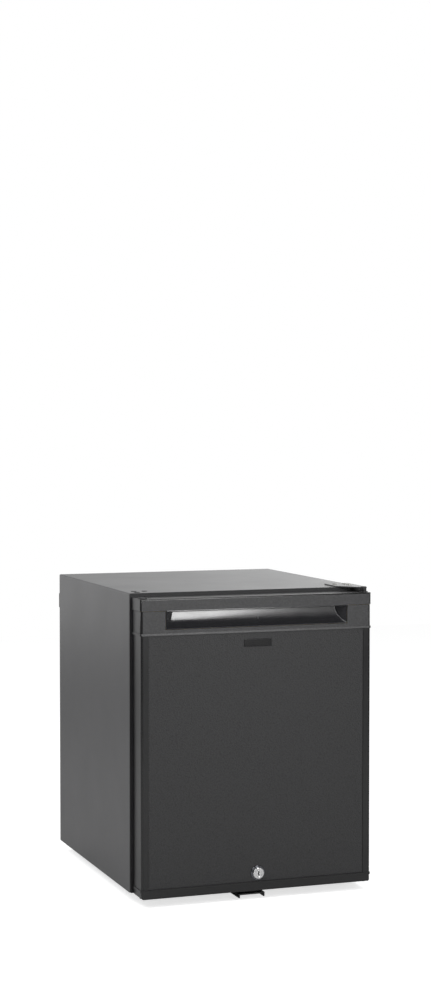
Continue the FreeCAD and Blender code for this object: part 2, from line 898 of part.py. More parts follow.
def make_bottom_hinge():
    """The stepped lower hinge plate, its pin and its screws."""
    right = half_width - size.hinge_plate_edge
    left = right - size.hinge_plate_width
    back = cabinet_front + size.hinge_plate_back
    step = cabinet_front + size.lower_step_gap
    low = door_bottom - size.lower_bush_foot - size.hinge_plate
    profile = [
        (hinge_y - size.hinge_nose_radius, low),
        (step + size.hinge_plate, low),
        (step + size.hinge_plate, cabinet_bottom - size.hinge_plate),
        (back, cabinet_bottom - size.hinge_plate),
        (back, cabinet_bottom),
        (step, cabinet_bottom),
        (step, low + size.hinge_plate),
        (hinge_y - size.hinge_nose_radius, low + size.hinge_plate),
    ]
    plate = prism("bottom_hinge_profile", "x", left, right, profile)
    nose = size.hinge_nose_radius
    plan = prism(
        "bottom_hinge_plan",
        "z",
        low - size.overrun,
        cabinet_bottom + size.overrun,
        [
            (left, back),
            (left, cabinet_front),
            (hinge_x - nose, hinge_y, nose),
            (hinge_x, hinge_y - nose, nose),
            (hinge_x + nose, hinge_y),
            (right, cabinet_front),
            (right, back),
        ],
    )
    shaped = common("bottom_hinge_shaped", plate, plan)
    bore = rod("bottom_hinge_bore", "z", (hinge_x, hinge_y, low - size.overrun),
               size.hinge_plate + size.overrun * 2, size.hinge_pin_radius)
    node(cut("bottom_hinge", shaped, bore, lower_hinge_drills), "bottom_hinge_plate")
    tip = door_bottom + size.hinge_pin_depth
    pin = rod("bottom_pin", "z", (hinge_x, hinge_y, low), tip - low, size.hinge_pin_radius)
    node(pin, "bottom_hinge_pin")
    screws = [
        screw(f"bottom_hinge_screw_{number}", x, y, cabinet_bottom - size.hinge_plate,
              size.hinge_screw_radius, size.hinge_screw_length, size.hinge_screw_head,
              size.hinge_screw_head_height)
        for number, (x, y) in enumerate(hinge_spots)
    ]
    node(group("bottom_screws", *screws), "bottom_hinge_screws")


def make_feet():
    """Four moulded feet, each with a sunk screw into the base pan."""
    feet = []
    screws = []
    low = as_length(0)
    screw_z = size.foot_bore_depth
    for number, (x, y) in enumerate(foot_spots):
        outline = [
            (size.foot_bore_radius, low),
            (size.foot_radius - size.foot_taper, low),
            (size.foot_radius, size.foot_height),
            (size.foot_screw_radius, size.foot_height),
            (size.foot_screw_radius, screw_z),
            (size.foot_bore_radius, screw_z),
        ]
        feet.append(lathe(f"foot_{number}", (x, y, low), outline))
        screws.append(
            screw(f"foot_screw_{number}", x, y, screw_z, size.foot_screw_radius, size.foot_screw_length,
                  size.foot_screw_head, size.foot_screw_head_height)
        )
    node(group("foot_set", *feet), "feet")
    node(group("foot_screw_set", *screws), "foot_screws")


def make_strike():
    """The channel under the door that the lock's cam drops into, and its screws."""
    left = -size.strike_half_width - size.strike_shift
    right = size.strike_half_width - size.strike_shift
    top = door_bottom - size.strike_drop
    low = top - size.strike_sheet
    front = door_front + size.strike_front_setback
    step = cabinet_front + size.lower_step_gap
    tail = step + size.strike_tail
    profile = [
        (front, low),
        (step + size.strike_sheet, low),
        (step + size.strike_sheet, cabinet_bottom - size.strike_sheet),
        (tail, cabinet_bottom - size.strike_sheet),
        (tail, cabinet_bottom),
        (step, cabinet_bottom),
        (step, top),
        (front, top),
    ]
    channel = prism("strike_profile", "x", left, right, profile)
    flanges = []
    for side, span in (
        ("left", (left, left + size.strike_sheet)),
        ("right", (right - size.strike_sheet, right)),
    ):
        flanges.append(
            block(f"strike_flange_{side}", span, (front, step + size.strike_sheet),
                  (low - size.strike_flange, low))
        )
    slot_front = cam_y - size.cam_slot_clearance
    slot = block(
        "strike_slot",
        (-size.strike_slot_reach, size.cam_half_width + size.cam_slot_clearance),
        (slot_front, cam_y + size.cam_thickness + size.cam_slot_clearance),
        (low - size.overrun, top + size.overrun),
    )
    whole = fuse("strike_whole", channel, *flanges)
    node(cut("strike", whole, slot, strike_drills), "lock_strike")
    screws = [
        screw(f"strike_screw_{number}", x, y, cabinet_bottom - size.strike_sheet, size.strike_screw_radius,
              size.strike_screw_length, size.strike_screw_head, size.strike_screw_head_height)
        for number, (x, y) in enumerate(strike_spots)
    ]
    node(group("strike_screws", *screws), "lock_strike_screws")


def make_cooling_plate():
    """The finned plate at the back of the cavity, its screws, the tube through the wall and the sensor."""
    base = block("cooler_base", (-cooler_half, cooler_half), (cooler_face, cavity_back),
                 (cooler_low, cooler_high))
    fins = []
    first = -cooler_half + size.cooler_screw_edge * 2
    pitch = (cooler_half - size.cooler_screw_edge * 2) * 2 / (COOLER_FINS - 1)
    for number in range(COOLER_FINS):
        x = first + pitch * number
        fins.append(
            block(
                f"cooler_fin_{number}",
                (x - size.cooler_fin / 2, x + size.cooler_fin / 2),
                (cooler_face - size.cooler_fin_depth, cooler_face),
                (cooler_low, cooler_high),
            )
        )
    whole = fuse("cooler_whole", base, *fins)
    node(cut("cooler", whole, cooler_drills), "cooling_plate")
    screws = []
    for number, (x, z) in enumerate(cooler_spots):
        screws.append(
            fuse(
                f"cooler_screw_{number}",
                rod(f"cooler_screw_head_{number}", "y", (x, cooler_face - size.cooler_screw_head_height, z),
                    size.cooler_screw_head_height, size.cooler_screw_head),
                rod(f"cooler_screw_shank_{number}", "y", (x, cooler_face, z),
                    size.cooler_screw_length, size.cooler_screw_radius),
            )
        )
    node(group("cooler_screws", *screws), "cooling_plate_screws")
    sensor_x = first + pitch / 2
    sensor_y = cooler_face - size.sensor_radius
    sensor = fuse(
        "sensor_body",
        rod("sensor_rod", "z", (sensor_x, sensor_y, evaporator_z - size.sensor_length / 2),
            size.sensor_length, size.sensor_radius),
        block("sensor_clip", (sensor_x - size.sensor_clip_half, sensor_x + size.sensor_clip_half),
              (sensor_y, cooler_face),
              (evaporator_z - size.sensor_clip_reach, evaporator_z + size.sensor_clip_reach)),
    )
    node(sensor, "temperature_sensor")


def make_drip_channel():
    """The channel under the fins, with the spout that drains it through the wall."""
    side = cooler_half + size.drip_side_reach
    low = drain_z - size.drip_height / 2
    high = drain_z + size.drip_height / 2
    front = cavity_back - size.drip_depth
    outer = block("drip_outer", (-side, side), (front, cavity_back), (low, high))
    inner = block(
        "drip_inner",
        (-side + size.drip_wall, side - size.drip_wall),
        (front + size.drip_wall, cavity_back - size.drip_wall),
        (low + size.drip_wall, high + size.overrun),
    )
    length = size.liner_wall + size.rear_insulation + size.sheet + size.drain_stub
    spout = rod("drain_outer", "y", (drain_x, cavity_back, drain_z), length, size.drain_radius)
    bore = rod("drain_bore", "y", (drain_x, cavity_back - size.drip_wall * 2, drain_z),
               length + size.overrun, size.drain_radius - size.drain_wall)
    whole = fuse("drip_whole", outer, spout)
    node(cut("drip", whole, inner, bore), "drip_channel")


control_right = cavity_half - size.control_right_gap
control_left = control_right - size.control_width
control_front = cabinet_front + size.control_setback
control_back = control_front + size.control_depth
control_low = cavity_top - size.control_height
knob_x = control_left + size.knob_offset
knob_z = control_low + size.control_height / 2
lens_x = control_right - size.lens_offset
lens_y = control_front + size.control_depth / 2


def make_control_housing():
    """The housing under the cavity's roof, with its lamp board, lens, knob and shaft."""
    outer = rounded("control_outer", "z", (control_left, control_right), (control_front, control_back),
                    (control_low, cavity_top), size.control_round)
    wall = size.control_wall
    inner = block(
        "control_inner",
        (control_left + wall, control_right - wall),
        (control_front + wall, control_back - wall),
        (control_low + wall, cavity_top + size.overrun),
    )
    lens_span = (lens_x - size.lens_width / 2, lens_x + size.lens_width / 2)
    lens_run = (lens_y - size.lens_depth / 2, lens_y + size.lens_depth / 2)
    window = block("lens_window", lens_span, lens_run, (control_low - size.overrun, control_low + wall))
    shaft_hole = rod("shaft_hole", "y", (knob_x, control_front - size.overrun, knob_z),
                     wall + size.overrun, size.shaft_radius + size.shaft_fit)
    bearing = rod("shaft_bearing", "y", (knob_x, control_front + wall, knob_z),
                  size.shaft_tail, size.shaft_radius * 2)
    bearing_bore = rod("shaft_bearing_bore", "y", (knob_x, control_front - size.overrun, knob_z),
                       wall + size.shaft_tail + size.overrun * 2, size.shaft_radius + size.shaft_fit)
    shell = cut("control_shell", outer, inner, window, shaft_hole)
    tube = cut("bearing_tube", bearing, bearing_bore)
    node(fuse("control", shell, tube), "control_housing")
    node(block("lens", lens_span, lens_run, (control_low, control_low + size.lens_thickness)), "lamp_lens")
    board_low = control_low + size.control_wall + size.board_gap
    board = block(
        "board_plate",
        (lens_span[0], control_right - wall),
        lens_run,
        (board_low, board_low + size.board_thickness),
    )
    node(board, "lamp_board")
    knob_back = control_front - size.knob_play
    knob_front = knob_back - size.knob_length
    disc = rod("knob_disc", "y", (knob_x, knob_front, knob_z), size.knob_length, size.knob_radius)
    grip = block(
        "knob_grip",
        (knob_x - size.grip_width / 2, knob_x + size.grip_width / 2),
        (knob_front - size.grip_height, knob_front),
        (knob_z - size.grip_reach, knob_z + size.grip_reach),
    )
    seat = rod("knob_seat", "y", (knob_x, knob_back - size.knob_length / 2, knob_z),
               size.knob_length, size.shaft_radius)
    node(cut("knob", fuse("knob_whole", disc, grip), seat), "thermostat_knob")
    shaft_start = knob_back - size.knob_length / 2
    shaft_stop = control_front + wall + size.shaft_tail
    node(rod("shaft", "y", (knob_x, shaft_start, knob_z), shaft_stop - shaft_start, size.shaft_radius),
         "thermostat_shaft")


def make_shelf(name, height):
    """A welded wire shelf: a round frame, cross wires front to back and a raised guard at the front."""
    wire = size.shelf_wire
    z = cavity_bottom + height + size.shelf_rest_play + wire
    half = cavity_half - size.shelf_side_play - wire
    front = cabinet_front + size.shelf_front_setback
    back = cavity_back - size.shelf_back_gap
    run = back - front
    items = [
        rod(f"{name}_left", "y", (-half, front, z), run, wire),
        rod(f"{name}_right", "y", (half, front, z), run, wire),
        rod(f"{name}_front", "x", (-half, front, z), half * 2, wire),
        rod(f"{name}_back", "x", (-half, back, z), half * 2, wire),
    ]
    for number, (x, y) in enumerate(((-half, front), (half, front), (-half, back), (half, back))):
        ball = doc.addObject("Part::Sphere", f"{name}_corner_{number}")
        bind(ball, "Radius", wire)
        place(ball, x, y, z)
        items.append(ball)
    pitch = half * 2 / (SHELF_BARS + 1)
    for number in range(SHELF_BARS):
        x = -half + pitch * (number + 1)
        items.append(rod(f"{name}_bar_{number}", "y", (x, front, z), run, size.shelf_cross_wire))
    guard_half = half - pitch
    guard_z = z + size.shelf_guard
    items.append(rod(f"{name}_guard", "x", (-guard_half, front, guard_z), guard_half * 2,
                     size.shelf_cross_wire))
    for side, x in (("left", -guard_half), ("middle", as_length(0)), ("right", guard_half)):
        items.append(rod(f"{name}_post_{side}", "z", (x, front, z), size.shelf_guard, size.shelf_cross_wire))
        ball = doc.addObject("Part::Sphere", f"{name}_knee_{side}")
        bind(ball, "Radius", size.shelf_cross_wire)
        place(ball, x, front, guard_z)
        items.append(ball)
    node(fuse(f"{name}_wires", *items), name)


def make_evaporator_tube(exchanger):
    """The tube that carries the cold from the unit through the wall to the plate."""
    start = cavity_back
    tube = rod("evaporator_rod", "y", (as_length(0), start, evaporator_z), unit_y - start,
               size.evaporator_radius)
    node(cut("evaporator", tube, exchanger), "evaporator_tube")


def make_heat_exchanger():
    """The insulated gas heat exchanger, an upright tube behind the box."""
    tube = rod("exchanger_rod", "z", (as_length(0), unit_y, exchanger_low),
               exchanger_high - exchanger_low, size.exchanger_radius)
    return node(tube, "gas_heat_exchanger")


def make_absorber(exchanger):
    """The absorber vessel and the coil that climbs from it to the heat exchanger."""
    length = vessel_left + vessel_right
    outline_radius = size.vessel_radius - size.vessel_round
    body = lathe(
        "vessel_body",
        (as_length(0), as_length(0), as_length(0)),
        [
            (as_length(0), as_length(0)),
            (outline_radius, as_length(0), size.vessel_round),
            (size.vessel_radius, size.vessel_round),
            (size.vessel_radius, length - size.vessel_round, size.vessel_round),
            (outline_radius, length),
            (as_length(0), length),
        ],
    )
    body.Placement = Placement(Vector(), AXIS_TURNS["x"])
    place(body, -vessel_left, unit_y, size.vessel_height)
    stub = rod("vessel_stub", "x", (vessel_right - size.vessel_round, unit_y, size.vessel_height),
               boiler_left - vessel_right + size.vessel_round, size.vessel_stub_radius)
    vessel = node(fuse("vessel", body, stub), "absorber_vessel")
    items = []
    left = -coil_left
    right = -size.coil_right
    bend = coil_pitch / 2
    for number in range(COIL_RUNS):
        z = size.coil_low + coil_pitch * number
        last = number == COIL_RUNS - 1
        stop = as_length(0) if last else right
        items.append(rod(f"coil_run_{number}", "x", (left, unit_y, z), stop - left, size.coil_radius))
        if last:
            continue
        right_side = number % 2 == 0
        centre = (right if right_side else left, unit_y, z + bend)
        items.append(
            half_ring(f"coil_bend_{number}", centre, bend, size.coil_radius, -90 if right_side else 90, 180)
        )
    drop_low = size.vessel_height
    items.append(rod("coil_drop", "z", (left, unit_y, drop_low), size.coil_low - drop_low, size.coil_radius))
    knee = doc.addObject("Part::Sphere", "coil_knee")
    bind(knee, "Radius", size.coil_radius)
    place(knee, left, unit_y, size.coil_low)
    items.append(knee)
    coil = fuse("coil_whole", *items)
    node(cut("coil", coil, exchanger, vessel), "absorber_coil")


def make_boiler():
    """The boiler's sheet casing, with a hole in its top for the rising pipe."""
    x = boiler_x
    half = size.boiler_half_width
    back = box_back + size.boiler_depth
    outer = rounded("boiler_outer", "z", (x - half, x + half), (box_back, back),
                    (size.boiler_low, boiler_high), size.boiler_round)
    inner = block(
        "boiler_inner",
        (x - half + size.sheet, x + half - size.sheet),
        (box_back + size.sheet, back - size.sheet),
        (size.boiler_low + size.sheet, boiler_high - size.sheet),
    )
    corner_safe = rounded("boiler_hollow", "z", (x - half + size.sheet, x + half - size.sheet),
                          (box_back + size.sheet, back - size.sheet),
                          (size.boiler_low + size.sheet, boiler_high - size.sheet),
                          size.boiler_round - size.sheet)
    hollow = common("boiler_space", inner, corner_safe)
    hole = rod("boiler_hole", "z", (x, unit_y, boiler_high - size.overrun),
               size.overrun * 2, size.rectifier_radius)
    node(cut("boiler", outer, hollow, hole), "boiler_casing")


def make_condenser():
    """The pipe that rises out of the boiler and bends into the finned condenser tube."""
    x = boiler_x
    bend = size.rectifier_bend
    rise_low = size.boiler_low + size.sheet
    rise_high = condenser_z - bend
    start = -vessel_left
    stop = x - bend
    run = rod("condenser_run", "x", (start, unit_y, condenser_z), stop - start, size.tube_radius)
    pipe = fuse(
        "condenser_pipe",
        rod("rectifier_rise", "z", (x, unit_y, rise_low), rise_high - rise_low, size.rectifier_radius),
        half_ring("rectifier_elbow", (x - bend, unit_y, rise_high), bend, size.rectifier_radius, 0, 90),
        run,
    )
    node(pipe, "condenser_tube")
    half = size.fin_half
    first = start + size.fin_start
    length = stop - size.fin_end_gap - first
    pitch = (length - size.fin_thickness) / (CONDENSER_FINS - 1)
    fins = [
        rod("condenser_sleeve", "x", (first, unit_y, condenser_z), length,
            size.tube_radius + size.fin_collar)
    ]
    for number in range(CONDENSER_FINS):
        fin_x = first + pitch * number
        fins.append(
            block(
                f"condenser_fin_{number}",
                (fin_x, fin_x + size.fin_thickness),
                (unit_y - half, unit_y + half),
                (condenser_z - half, condenser_z + half),
            )
        )
    node(cut("condenser_fin_set", fuse("condenser_fin_stack", *fins), run), "condenser_fins")


def make_straps():
    """Two flat straps that hold the unit to the cabinet's sides."""
    back = box_back + size.boiler_depth
    straps = []
    for name, z in (("low", size.strap_low), ("high", strap_high)):
        bar = block(f"strap_bar_{name}", (-inner_half, inner_half), (back, back + size.strap_sheet),
                    (z, z + size.strap_height))
        left = block(f"strap_left_{name}", (-inner_half, -inner_half + size.strap_sheet),
                     (back - size.strap_tab, back), (z, z + size.strap_height))
        right = block(f"strap_right_{name}", (inner_half - size.strap_sheet, inner_half),
                      (back - size.strap_tab, back), (z, z + size.strap_height))
        straps.append(fuse(f"strap_{name}", bar, left, right))
    node(group("strap_set", *straps), "unit_straps")


def make_control_box():
    """The electrical box on the rear sheet, its lid and the gland for the mains lead."""
    x = (-control_box_left, -control_box_left + size.control_box_width)
    z = (control_box_low, control_box_low + size.control_box_height)
    y = (box_back, box_back + size.control_box_depth)
    wall = size.control_box_wall
    outer = block("control_box_outer", x, y, z)
    inner = block("control_box_inner", (x[0] + wall, x[1] - wall), (y[0] + wall, y[1] + size.overrun),
                  (z[0] + wall, z[1] - wall))
    gland_x = (x[0] + x[1]) / 2
    gland_y = (y[0] + y[1]) / 2
    hole = rod("gland_hole", "z", (gland_x, gland_y, z[0] - size.overrun), size.overrun * 2,
               size.gland_radius)
    node(cut("control_box_shell", outer, inner, hole), "control_box")
    lid = block("lid_plate", x, (y[1], y[1] + wall), z)
    lip = block("lid_lip_plate", (x[0] + wall, x[1] - wall), (y[1] - size.lid_lip, y[1]),
                (z[0] + wall, z[1] - wall))
    node(fuse("lid", lid, lip), "control_box_lid")
    stem = rod("gland_stem", "z", (gland_x, gland_y, z[0] + wall - size.gland_length), size.gland_length,
               size.gland_radius)
    nut = rod("gland_nut_ring", "z", (gland_x, gland_y, z[0] - size.gland_nut), size.gland_nut,
              size.gland_nut_radius)
    bore = rod("gland_bore_hole", "z", (gland_x, gland_y, z[0] - size.gland_length - size.overrun),
               size.gland_length * 2, size.gland_bore)
    node(cut("gland", fuse("gland_whole", stem, nut), bore), "cable_gland")


def make_water_tray():
    """The tray on the rear sheet that lets the drained water evaporate."""
    x = (drain_x - tray_half, drain_x + tray_half)
    y = (box_back, box_back + size.tray_depth)
    high = drain_z - size.tray_drop
    z = (high - size.tray_height, high)
    wall = size.tray_wall
    outer = block("tray_outer", x, y, z)
    inner = block("tray_inner", (x[0] + wall, x[1] - wall), (y[0] + wall, y[1] - wall),
                  (z[0] + wall, z[1] + size.overrun))
    node(cut("tray", outer, inner), "water_tray")


def make_spacers():
    """Bumpers that keep the warm unit off the wall."""
    high = cabinet_top - size.spacer_below_top
    z = (high - size.spacer_height, high)
    y = (cabinet_back, cabinet_back + size.spacer_depth)
    left = block("spacer_left", (-inner_half, -inner_half + size.spacer_width), y, z)
    right = block("spacer_right", (inner_half - size.spacer_width, inner_half), y, z)
    node(group("spacers", left, right), "wall_spacers")


# Door

trim_low = door_top - size.trim_height
seam_z = door_top - size.cap_height
window_low = seam_z - size.window_height
window_half = door_width / 2 - size.window_side
bottom_trim_top = door_bottom + size.bottom_trim_height
door_inside = (-door_half + size.strip_wall, door_half - size.strip_wall)


def bush_rods(name, extra):
    """Plain rods where the door's bushes and spare plugs sit, for cutting their holes."""
    items = []
    for side, x in (("hinge", hinge_x), ("spare", -hinge_x)):
        items.append(
            rod(f"{name}_{side}_top", "z", (x, hinge_y, door_top - size.bush_depth),
                size.bush_depth + extra, size.bush_radius)
        )
        items.append(
            rod(f"{name}_{side}_low", "z", (x, hinge_y, door_bottom - extra), size.bush_depth + extra,
                size.bush_radius)
        )
    return group(name, *items)


bush_tools = bush_rods("bush_tools", size.overrun)


def make_door_cap():
    """The wide cap strip along the door's top."""
    half = door_width / 2
    z = (seam_z + size.cap_seam, door_top)
    outer = block("cap_outer", (-half, half), (door_front, door_back), z)
    wall = size.skin
    inner = block(
        "cap_inner",
        (door_inside[0], door_inside[1]),
        (door_front + wall, door_back + size.overrun),
        (z[0] - size.overrun, door_top - wall),
    )
    node(cut("cap", outer, inner, bush_tools), "door_top_cap")


def make_handle_housing():
    """The front housing under the cap, with the window of the handle recess and a lip below."""
    z = (trim_low, seam_z)
    wall = size.skin
    outer = block("housing_outer", (-door_half, door_half), (door_front, door_back), z)
    lip = block(
        "housing_lip",
        (-door_half - size.lip_reach, door_half + size.lip_reach),
        (door_front - size.lip_reach / 2, door_back),
        (trim_low, trim_low + size.lip_height),
    )
    inner = block("housing_inner", door_inside, (door_front + wall, door_back + size.overrun),
                  (trim_low - size.overrun, seam_z + size.overrun))
    edge = window_half + size.scoop_wall
    window = block("housing_window", (-edge, edge),
                   (door_front - size.overrun, door_front + wall + size.overrun),
                   (window_low - size.scoop_wall, seam_z + size.overrun))
    node(cut("housing", fuse("housing_whole", outer, lip), inner, window), "handle_housing")


def scoop_space(name, wall, front):
    """The space of the recess, grown by a wall: a curved section cut by slanted ends."""
    pocket = seam_z + size.scoop_pocket + wall
    back = door_front + size.scoop_depth + wall
    lip_back = door_front + size.skin
    section = [
        (front, window_low - wall),
        (door_front + wall, window_low - wall, size.scoop_round + wall),
        (back, window_low + size.scoop_rise),
        (back, pocket),
        (lip_back, pocket),
        (lip_back, seam_z),
        (front, seam_z),
    ]
    curved = prism(f"{name}_section", "x", -window_half - wall, window_half + wall, section)
    slant = size.scoop_taper_run / size.scoop_depth
    narrow = window_half + wall - size.scoop_taper_run
    wide = window_half + wall + (door_front - front) * slant
    plan = [(-wide, front), (wide, front), (narrow, back), (-narrow, back)]
    ends = prism(f"{name}_plan", "z", window_low - wall - size.overrun, pocket + size.overrun, plan)
    return common(name, curved, ends)


def make_handle_scoop():
    """The glossy insert that lines the recess and the finger pocket behind the cap."""
    outer = scoop_space("scoop_outer", size.scoop_wall, door_front)
    hollow = scoop_space("scoop_hollow", as_length(0), door_front - size.overrun)
    node(cut("scoop", outer, hollow), "handle_scoop")


def make_side_strips():
    """The two edge profiles: a narrow front face and the side wall."""
    z = (bottom_trim_top, trim_low)
    wall = size.strip_wall
    wide = size.strip_width
    edge = door_half
    left = [
        (-edge, door_front),
        (-edge + wide, door_front),
        (-edge + wide, door_front + wall),
        (-edge + wall, door_front + wall),
        (-edge + wall, door_back),
        (-edge, door_back),
    ]
    right = [(-x, y) for x, y in reversed(left)]
    strips = [prism("strip_left", "z", z[0], z[1], left), prism("strip_right", "z", z[0], z[1], right)]
    node(group("strips", *strips), "door_side_strips")


def lock_hole(name, radius):
    """A hole along the lock's axis, through the whole door skin."""
    return rod(name, "y", (as_length(0), door_front - size.overrun, lock_z),
               size.lock_barrel_length + size.overrun * 2, radius)


def make_door_panel():
    """The grained front sheet, set back behind the strips and trims."""
    front = door_front + size.panel_inset
    panel = block("panel_sheet_block", door_inside, (front, front + size.panel_sheet),
                  (bottom_trim_top, trim_low))
    node(cut("panel", panel, lock_hole("panel_lock_hole", size.lock_barrel_radius)), "door_panel")


def make_bottom_trim():
    """The trim along the door's foot, with a lip on top and the slot for the lock's cam."""
    wall = size.skin
    bend = size.bottom_trim_round
    outer = prism(
        "bottom_outer",
        "y",
        door_front,
        door_back,
        [
            (-door_half + bend, door_bottom),
            (door_half - bend, door_bottom, bend),
            (door_half, door_bottom + bend),
            (door_half, bottom_trim_top),
            (-door_half, bottom_trim_top),
            (-door_half, door_bottom + bend, bend),
        ],
    )
    lip = block(
        "bottom_lip",
        (-door_half - size.lip_reach, door_half + size.lip_reach),
        (door_front - size.lip_reach / 2, door_back),
        (bottom_trim_top - size.lip_height, bottom_trim_top),
    )
    inner = block("bottom_inner", door_inside, (door_front + wall, door_back + size.overrun),
                  (door_bottom + wall, bottom_trim_top + size.overrun))
    slot = block(
        "bottom_slot",
        (-size.cam_slot_reach, size.cam_half_width + size.cam_slot_clearance),
        (cam_y - size.cam_slot_clearance / 2, cam_y + size.cam_thickness + size.cam_slot_clearance / 2),
        (door_bottom - size.overrun, door_bottom + wall + size.overrun),
    )
    node(cut("bottom", fuse("bottom_whole", outer, lip), inner, slot, bush_tools), "door_bottom_trim")


def make_badge():
    """A blank plate on the front panel."""
    front = door_front + size.panel_inset
    middle = door_top - size.badge_below_top
    badge = block(
        "badge_block",
        (-size.badge_width / 2, size.badge_width / 2),
        (front - size.badge_thickness, front),
        (middle - size.badge_height / 2, middle + size.badge_height / 2),
    )
    node(badge, "badge_plate")


dyke_low = cavity_bottom + size.dyke_margin
dyke_high = cavity_top - size.dyke_margin
dyke_outer = cavity_half - size.dyke_side_gap
upper_rack_base = dyke_high - size.upper_rack_top_gap - size.upper_rack_height - cavity_bottom
middle_rack_base = (size.lower_rack_base + upper_rack_base) / 2 + size.middle_rack_lift
liner_low = door_bottom + size.skin
liner_high = door_top - size.skin
gasket_half = door_half - size.gasket_inset
gasket_z = (door_bottom + size.gasket_inset, door_top - size.gasket_inset)


def frame_ring(name, inset, width, y):
    """A rectangular ring set in from the gasket's outer line."""
    outer = block(
        f"{name}_outer",
        (-gasket_half + inset, gasket_half - inset),
        y,
        (gasket_z[0] + inset, gasket_z[1] - inset),
    )
    inner = block(
        f"{name}_inner",
        (-gasket_half + inset + width, gasket_half - inset - width),
        (y[0] - size.overrun, y[1] + size.overrun),
        (gasket_z[0] + inset + width, gasket_z[1] - inset - width),
    )
    return cut(name, outer, inner)


def dyke_blocks(name, shrink, front):
    """The two upright dykes behind the door, shrunk by a wall where they are hollow."""
    items = []
    for side, span in (
        ("left", (-dyke_outer, -dyke_outer + size.dyke_width)),
        ("right", (dyke_outer - size.dyke_width, dyke_outer)),
    ):
        items.append(
            block(
                f"{name}_{side}",
                (span[0] + shrink, span[1] - shrink),
                (front, door_back + size.dyke_depth - shrink),
                (dyke_low + shrink, dyke_high - shrink),
            )
        )
    return items


racks = [
    ("lower_rack", size.lower_rack_base, size.lower_rack_height),
    ("middle_rack", middle_rack_base, size.middle_rack_height),
    ("upper_rack", upper_rack_base, size.upper_rack_height),
]


def make_door_liner():
    """The moulded inner face of the door: a plate, a gasket groove, two dykes and the rack lugs."""
    wall = size.door_liner_wall
    face = door_back - wall
    plate = block("door_liner_plate", door_inside, (face, door_back), (liner_low, liner_high))
    groove_floor = door_back - size.gasket_groove
    trough = frame_ring("liner_trough", -wall, size.gasket_width + wall * 2, (groove_floor - wall, door_back))
    groove = frame_ring("liner_groove", as_length(0), size.gasket_width,
                        (groove_floor, door_back + size.overrun))
    whole = fuse("door_liner_whole", plate, trough, *dyke_blocks("dyke", as_length(0), face))
    hollow = dyke_blocks("dyke_hollow", wall, face - size.overrun)
    shell = cut("door_liner_shell", whole, groove, *hollow)
    lugs = []
    edge = dyke_outer - size.dyke_width
    for name, base, height in racks:
        top = cavity_bottom + base + height - size.rack_lip - size.rack_rest_play
        for side, span in (
            ("left", (-edge, -edge + size.lug_reach)),
            ("right", (edge - size.lug_reach, edge)),
        ):
            lugs.append(
                block(
                    f"lug_{name}_{side}",
                    span,
                    (door_back + size.lug_front, door_back + size.lug_front + size.lug_length),
                    (top - size.lug_height, top),
                )
            )
    node(fuse("door_liner_body", shell, *lugs), "door_liner")
    return trough


def make_door_foam(trough):
    """Rigid foam between the door's skins, with room for the recess and the lock."""
    panel_back = door_front + size.panel_inset + size.panel_sheet
    face = door_back - size.door_liner_wall
    low = door_bottom + size.skin
    high = door_top - size.skin
    full = block("door_foam_full", door_inside, (door_front + size.skin, face), (low, high))
    edge = window_half + size.scoop_wall
    recess = block(
        "door_foam_recess",
        (-edge, edge),
        (door_front, door_front + size.scoop_depth + size.scoop_wall),
        (window_low - size.scoop_wall, seam_z + size.scoop_pocket + size.scoop_wall),
    )
    cam_room = size.cam_length + size.cam_slot_clearance
    lock_room = block(
        "door_foam_lock",
        (-cam_room, size.lock_nut_radius + size.cam_slot_clearance),
        (panel_back, cam_y + size.cam_thickness + size.cam_slot_clearance * 2),
        (low, lock_z + size.lock_nut_radius + size.cam_slot_clearance),
    )
    node(cut("door_foam_body", full, recess, lock_room, trough, bush_tools), "door_foam")


def make_gasket():
    """The magnetic gasket: a foot in the groove, a neck and a wider sealing head."""
    head_front = door_back
    head_back = cabinet_front - size.gasket_play
    foot = frame_ring("gasket_foot", as_length(0), size.gasket_width,
                      (door_back - size.gasket_groove, door_back))
    spread = (size.gasket_head_width - size.gasket_width) / 2
    head = frame_ring("gasket_head", -spread, size.gasket_head_width, (head_front, head_back))
    node(fuse("gasket", foot, head), "door_gasket")


def make_bushes():
    """The plain bushes that the hinge pins turn in, and the plugs in the spare holes."""
    bore = size.hinge_pin_radius + size.hinge_fit
    bushes = []
    plugs = []
    for level in ("top", "low"):
        top = level == "top"
        start = door_top - size.bush_depth if top else door_bottom - size.lower_bush_foot
        for side, x, kept in (("hinge", hinge_x, bushes), ("spare", -hinge_x, plugs)):
            body = rod(f"{side}_bush_{level}", "z", (x, hinge_y, start), size.bush_depth, size.bush_radius)
            if top:
                flange = rod(f"{side}_bush_flange", "z", (x, hinge_y, door_top), size.bush_flange,
                             size.bush_flange_radius)
                body = fuse(f"{side}_bush_flanged", body, flange)
            if side == "spare":
                kept.append(body)
                continue
            hole_start = start + size.bush_flange if top else start - size.overrun
            hole_length = size.bush_depth + size.overrun - size.bush_flange
            hole = rod(f"bush_bore_{level}", "z", (x, hinge_y, hole_start), hole_length, bore)
            kept.append(cut(f"{side}_bushed_{level}", body, hole))
    node(group("bush_set", *bushes), "door_hinge_bushes")
    node(group("spare_set", *plugs), "door_spare_plugs")


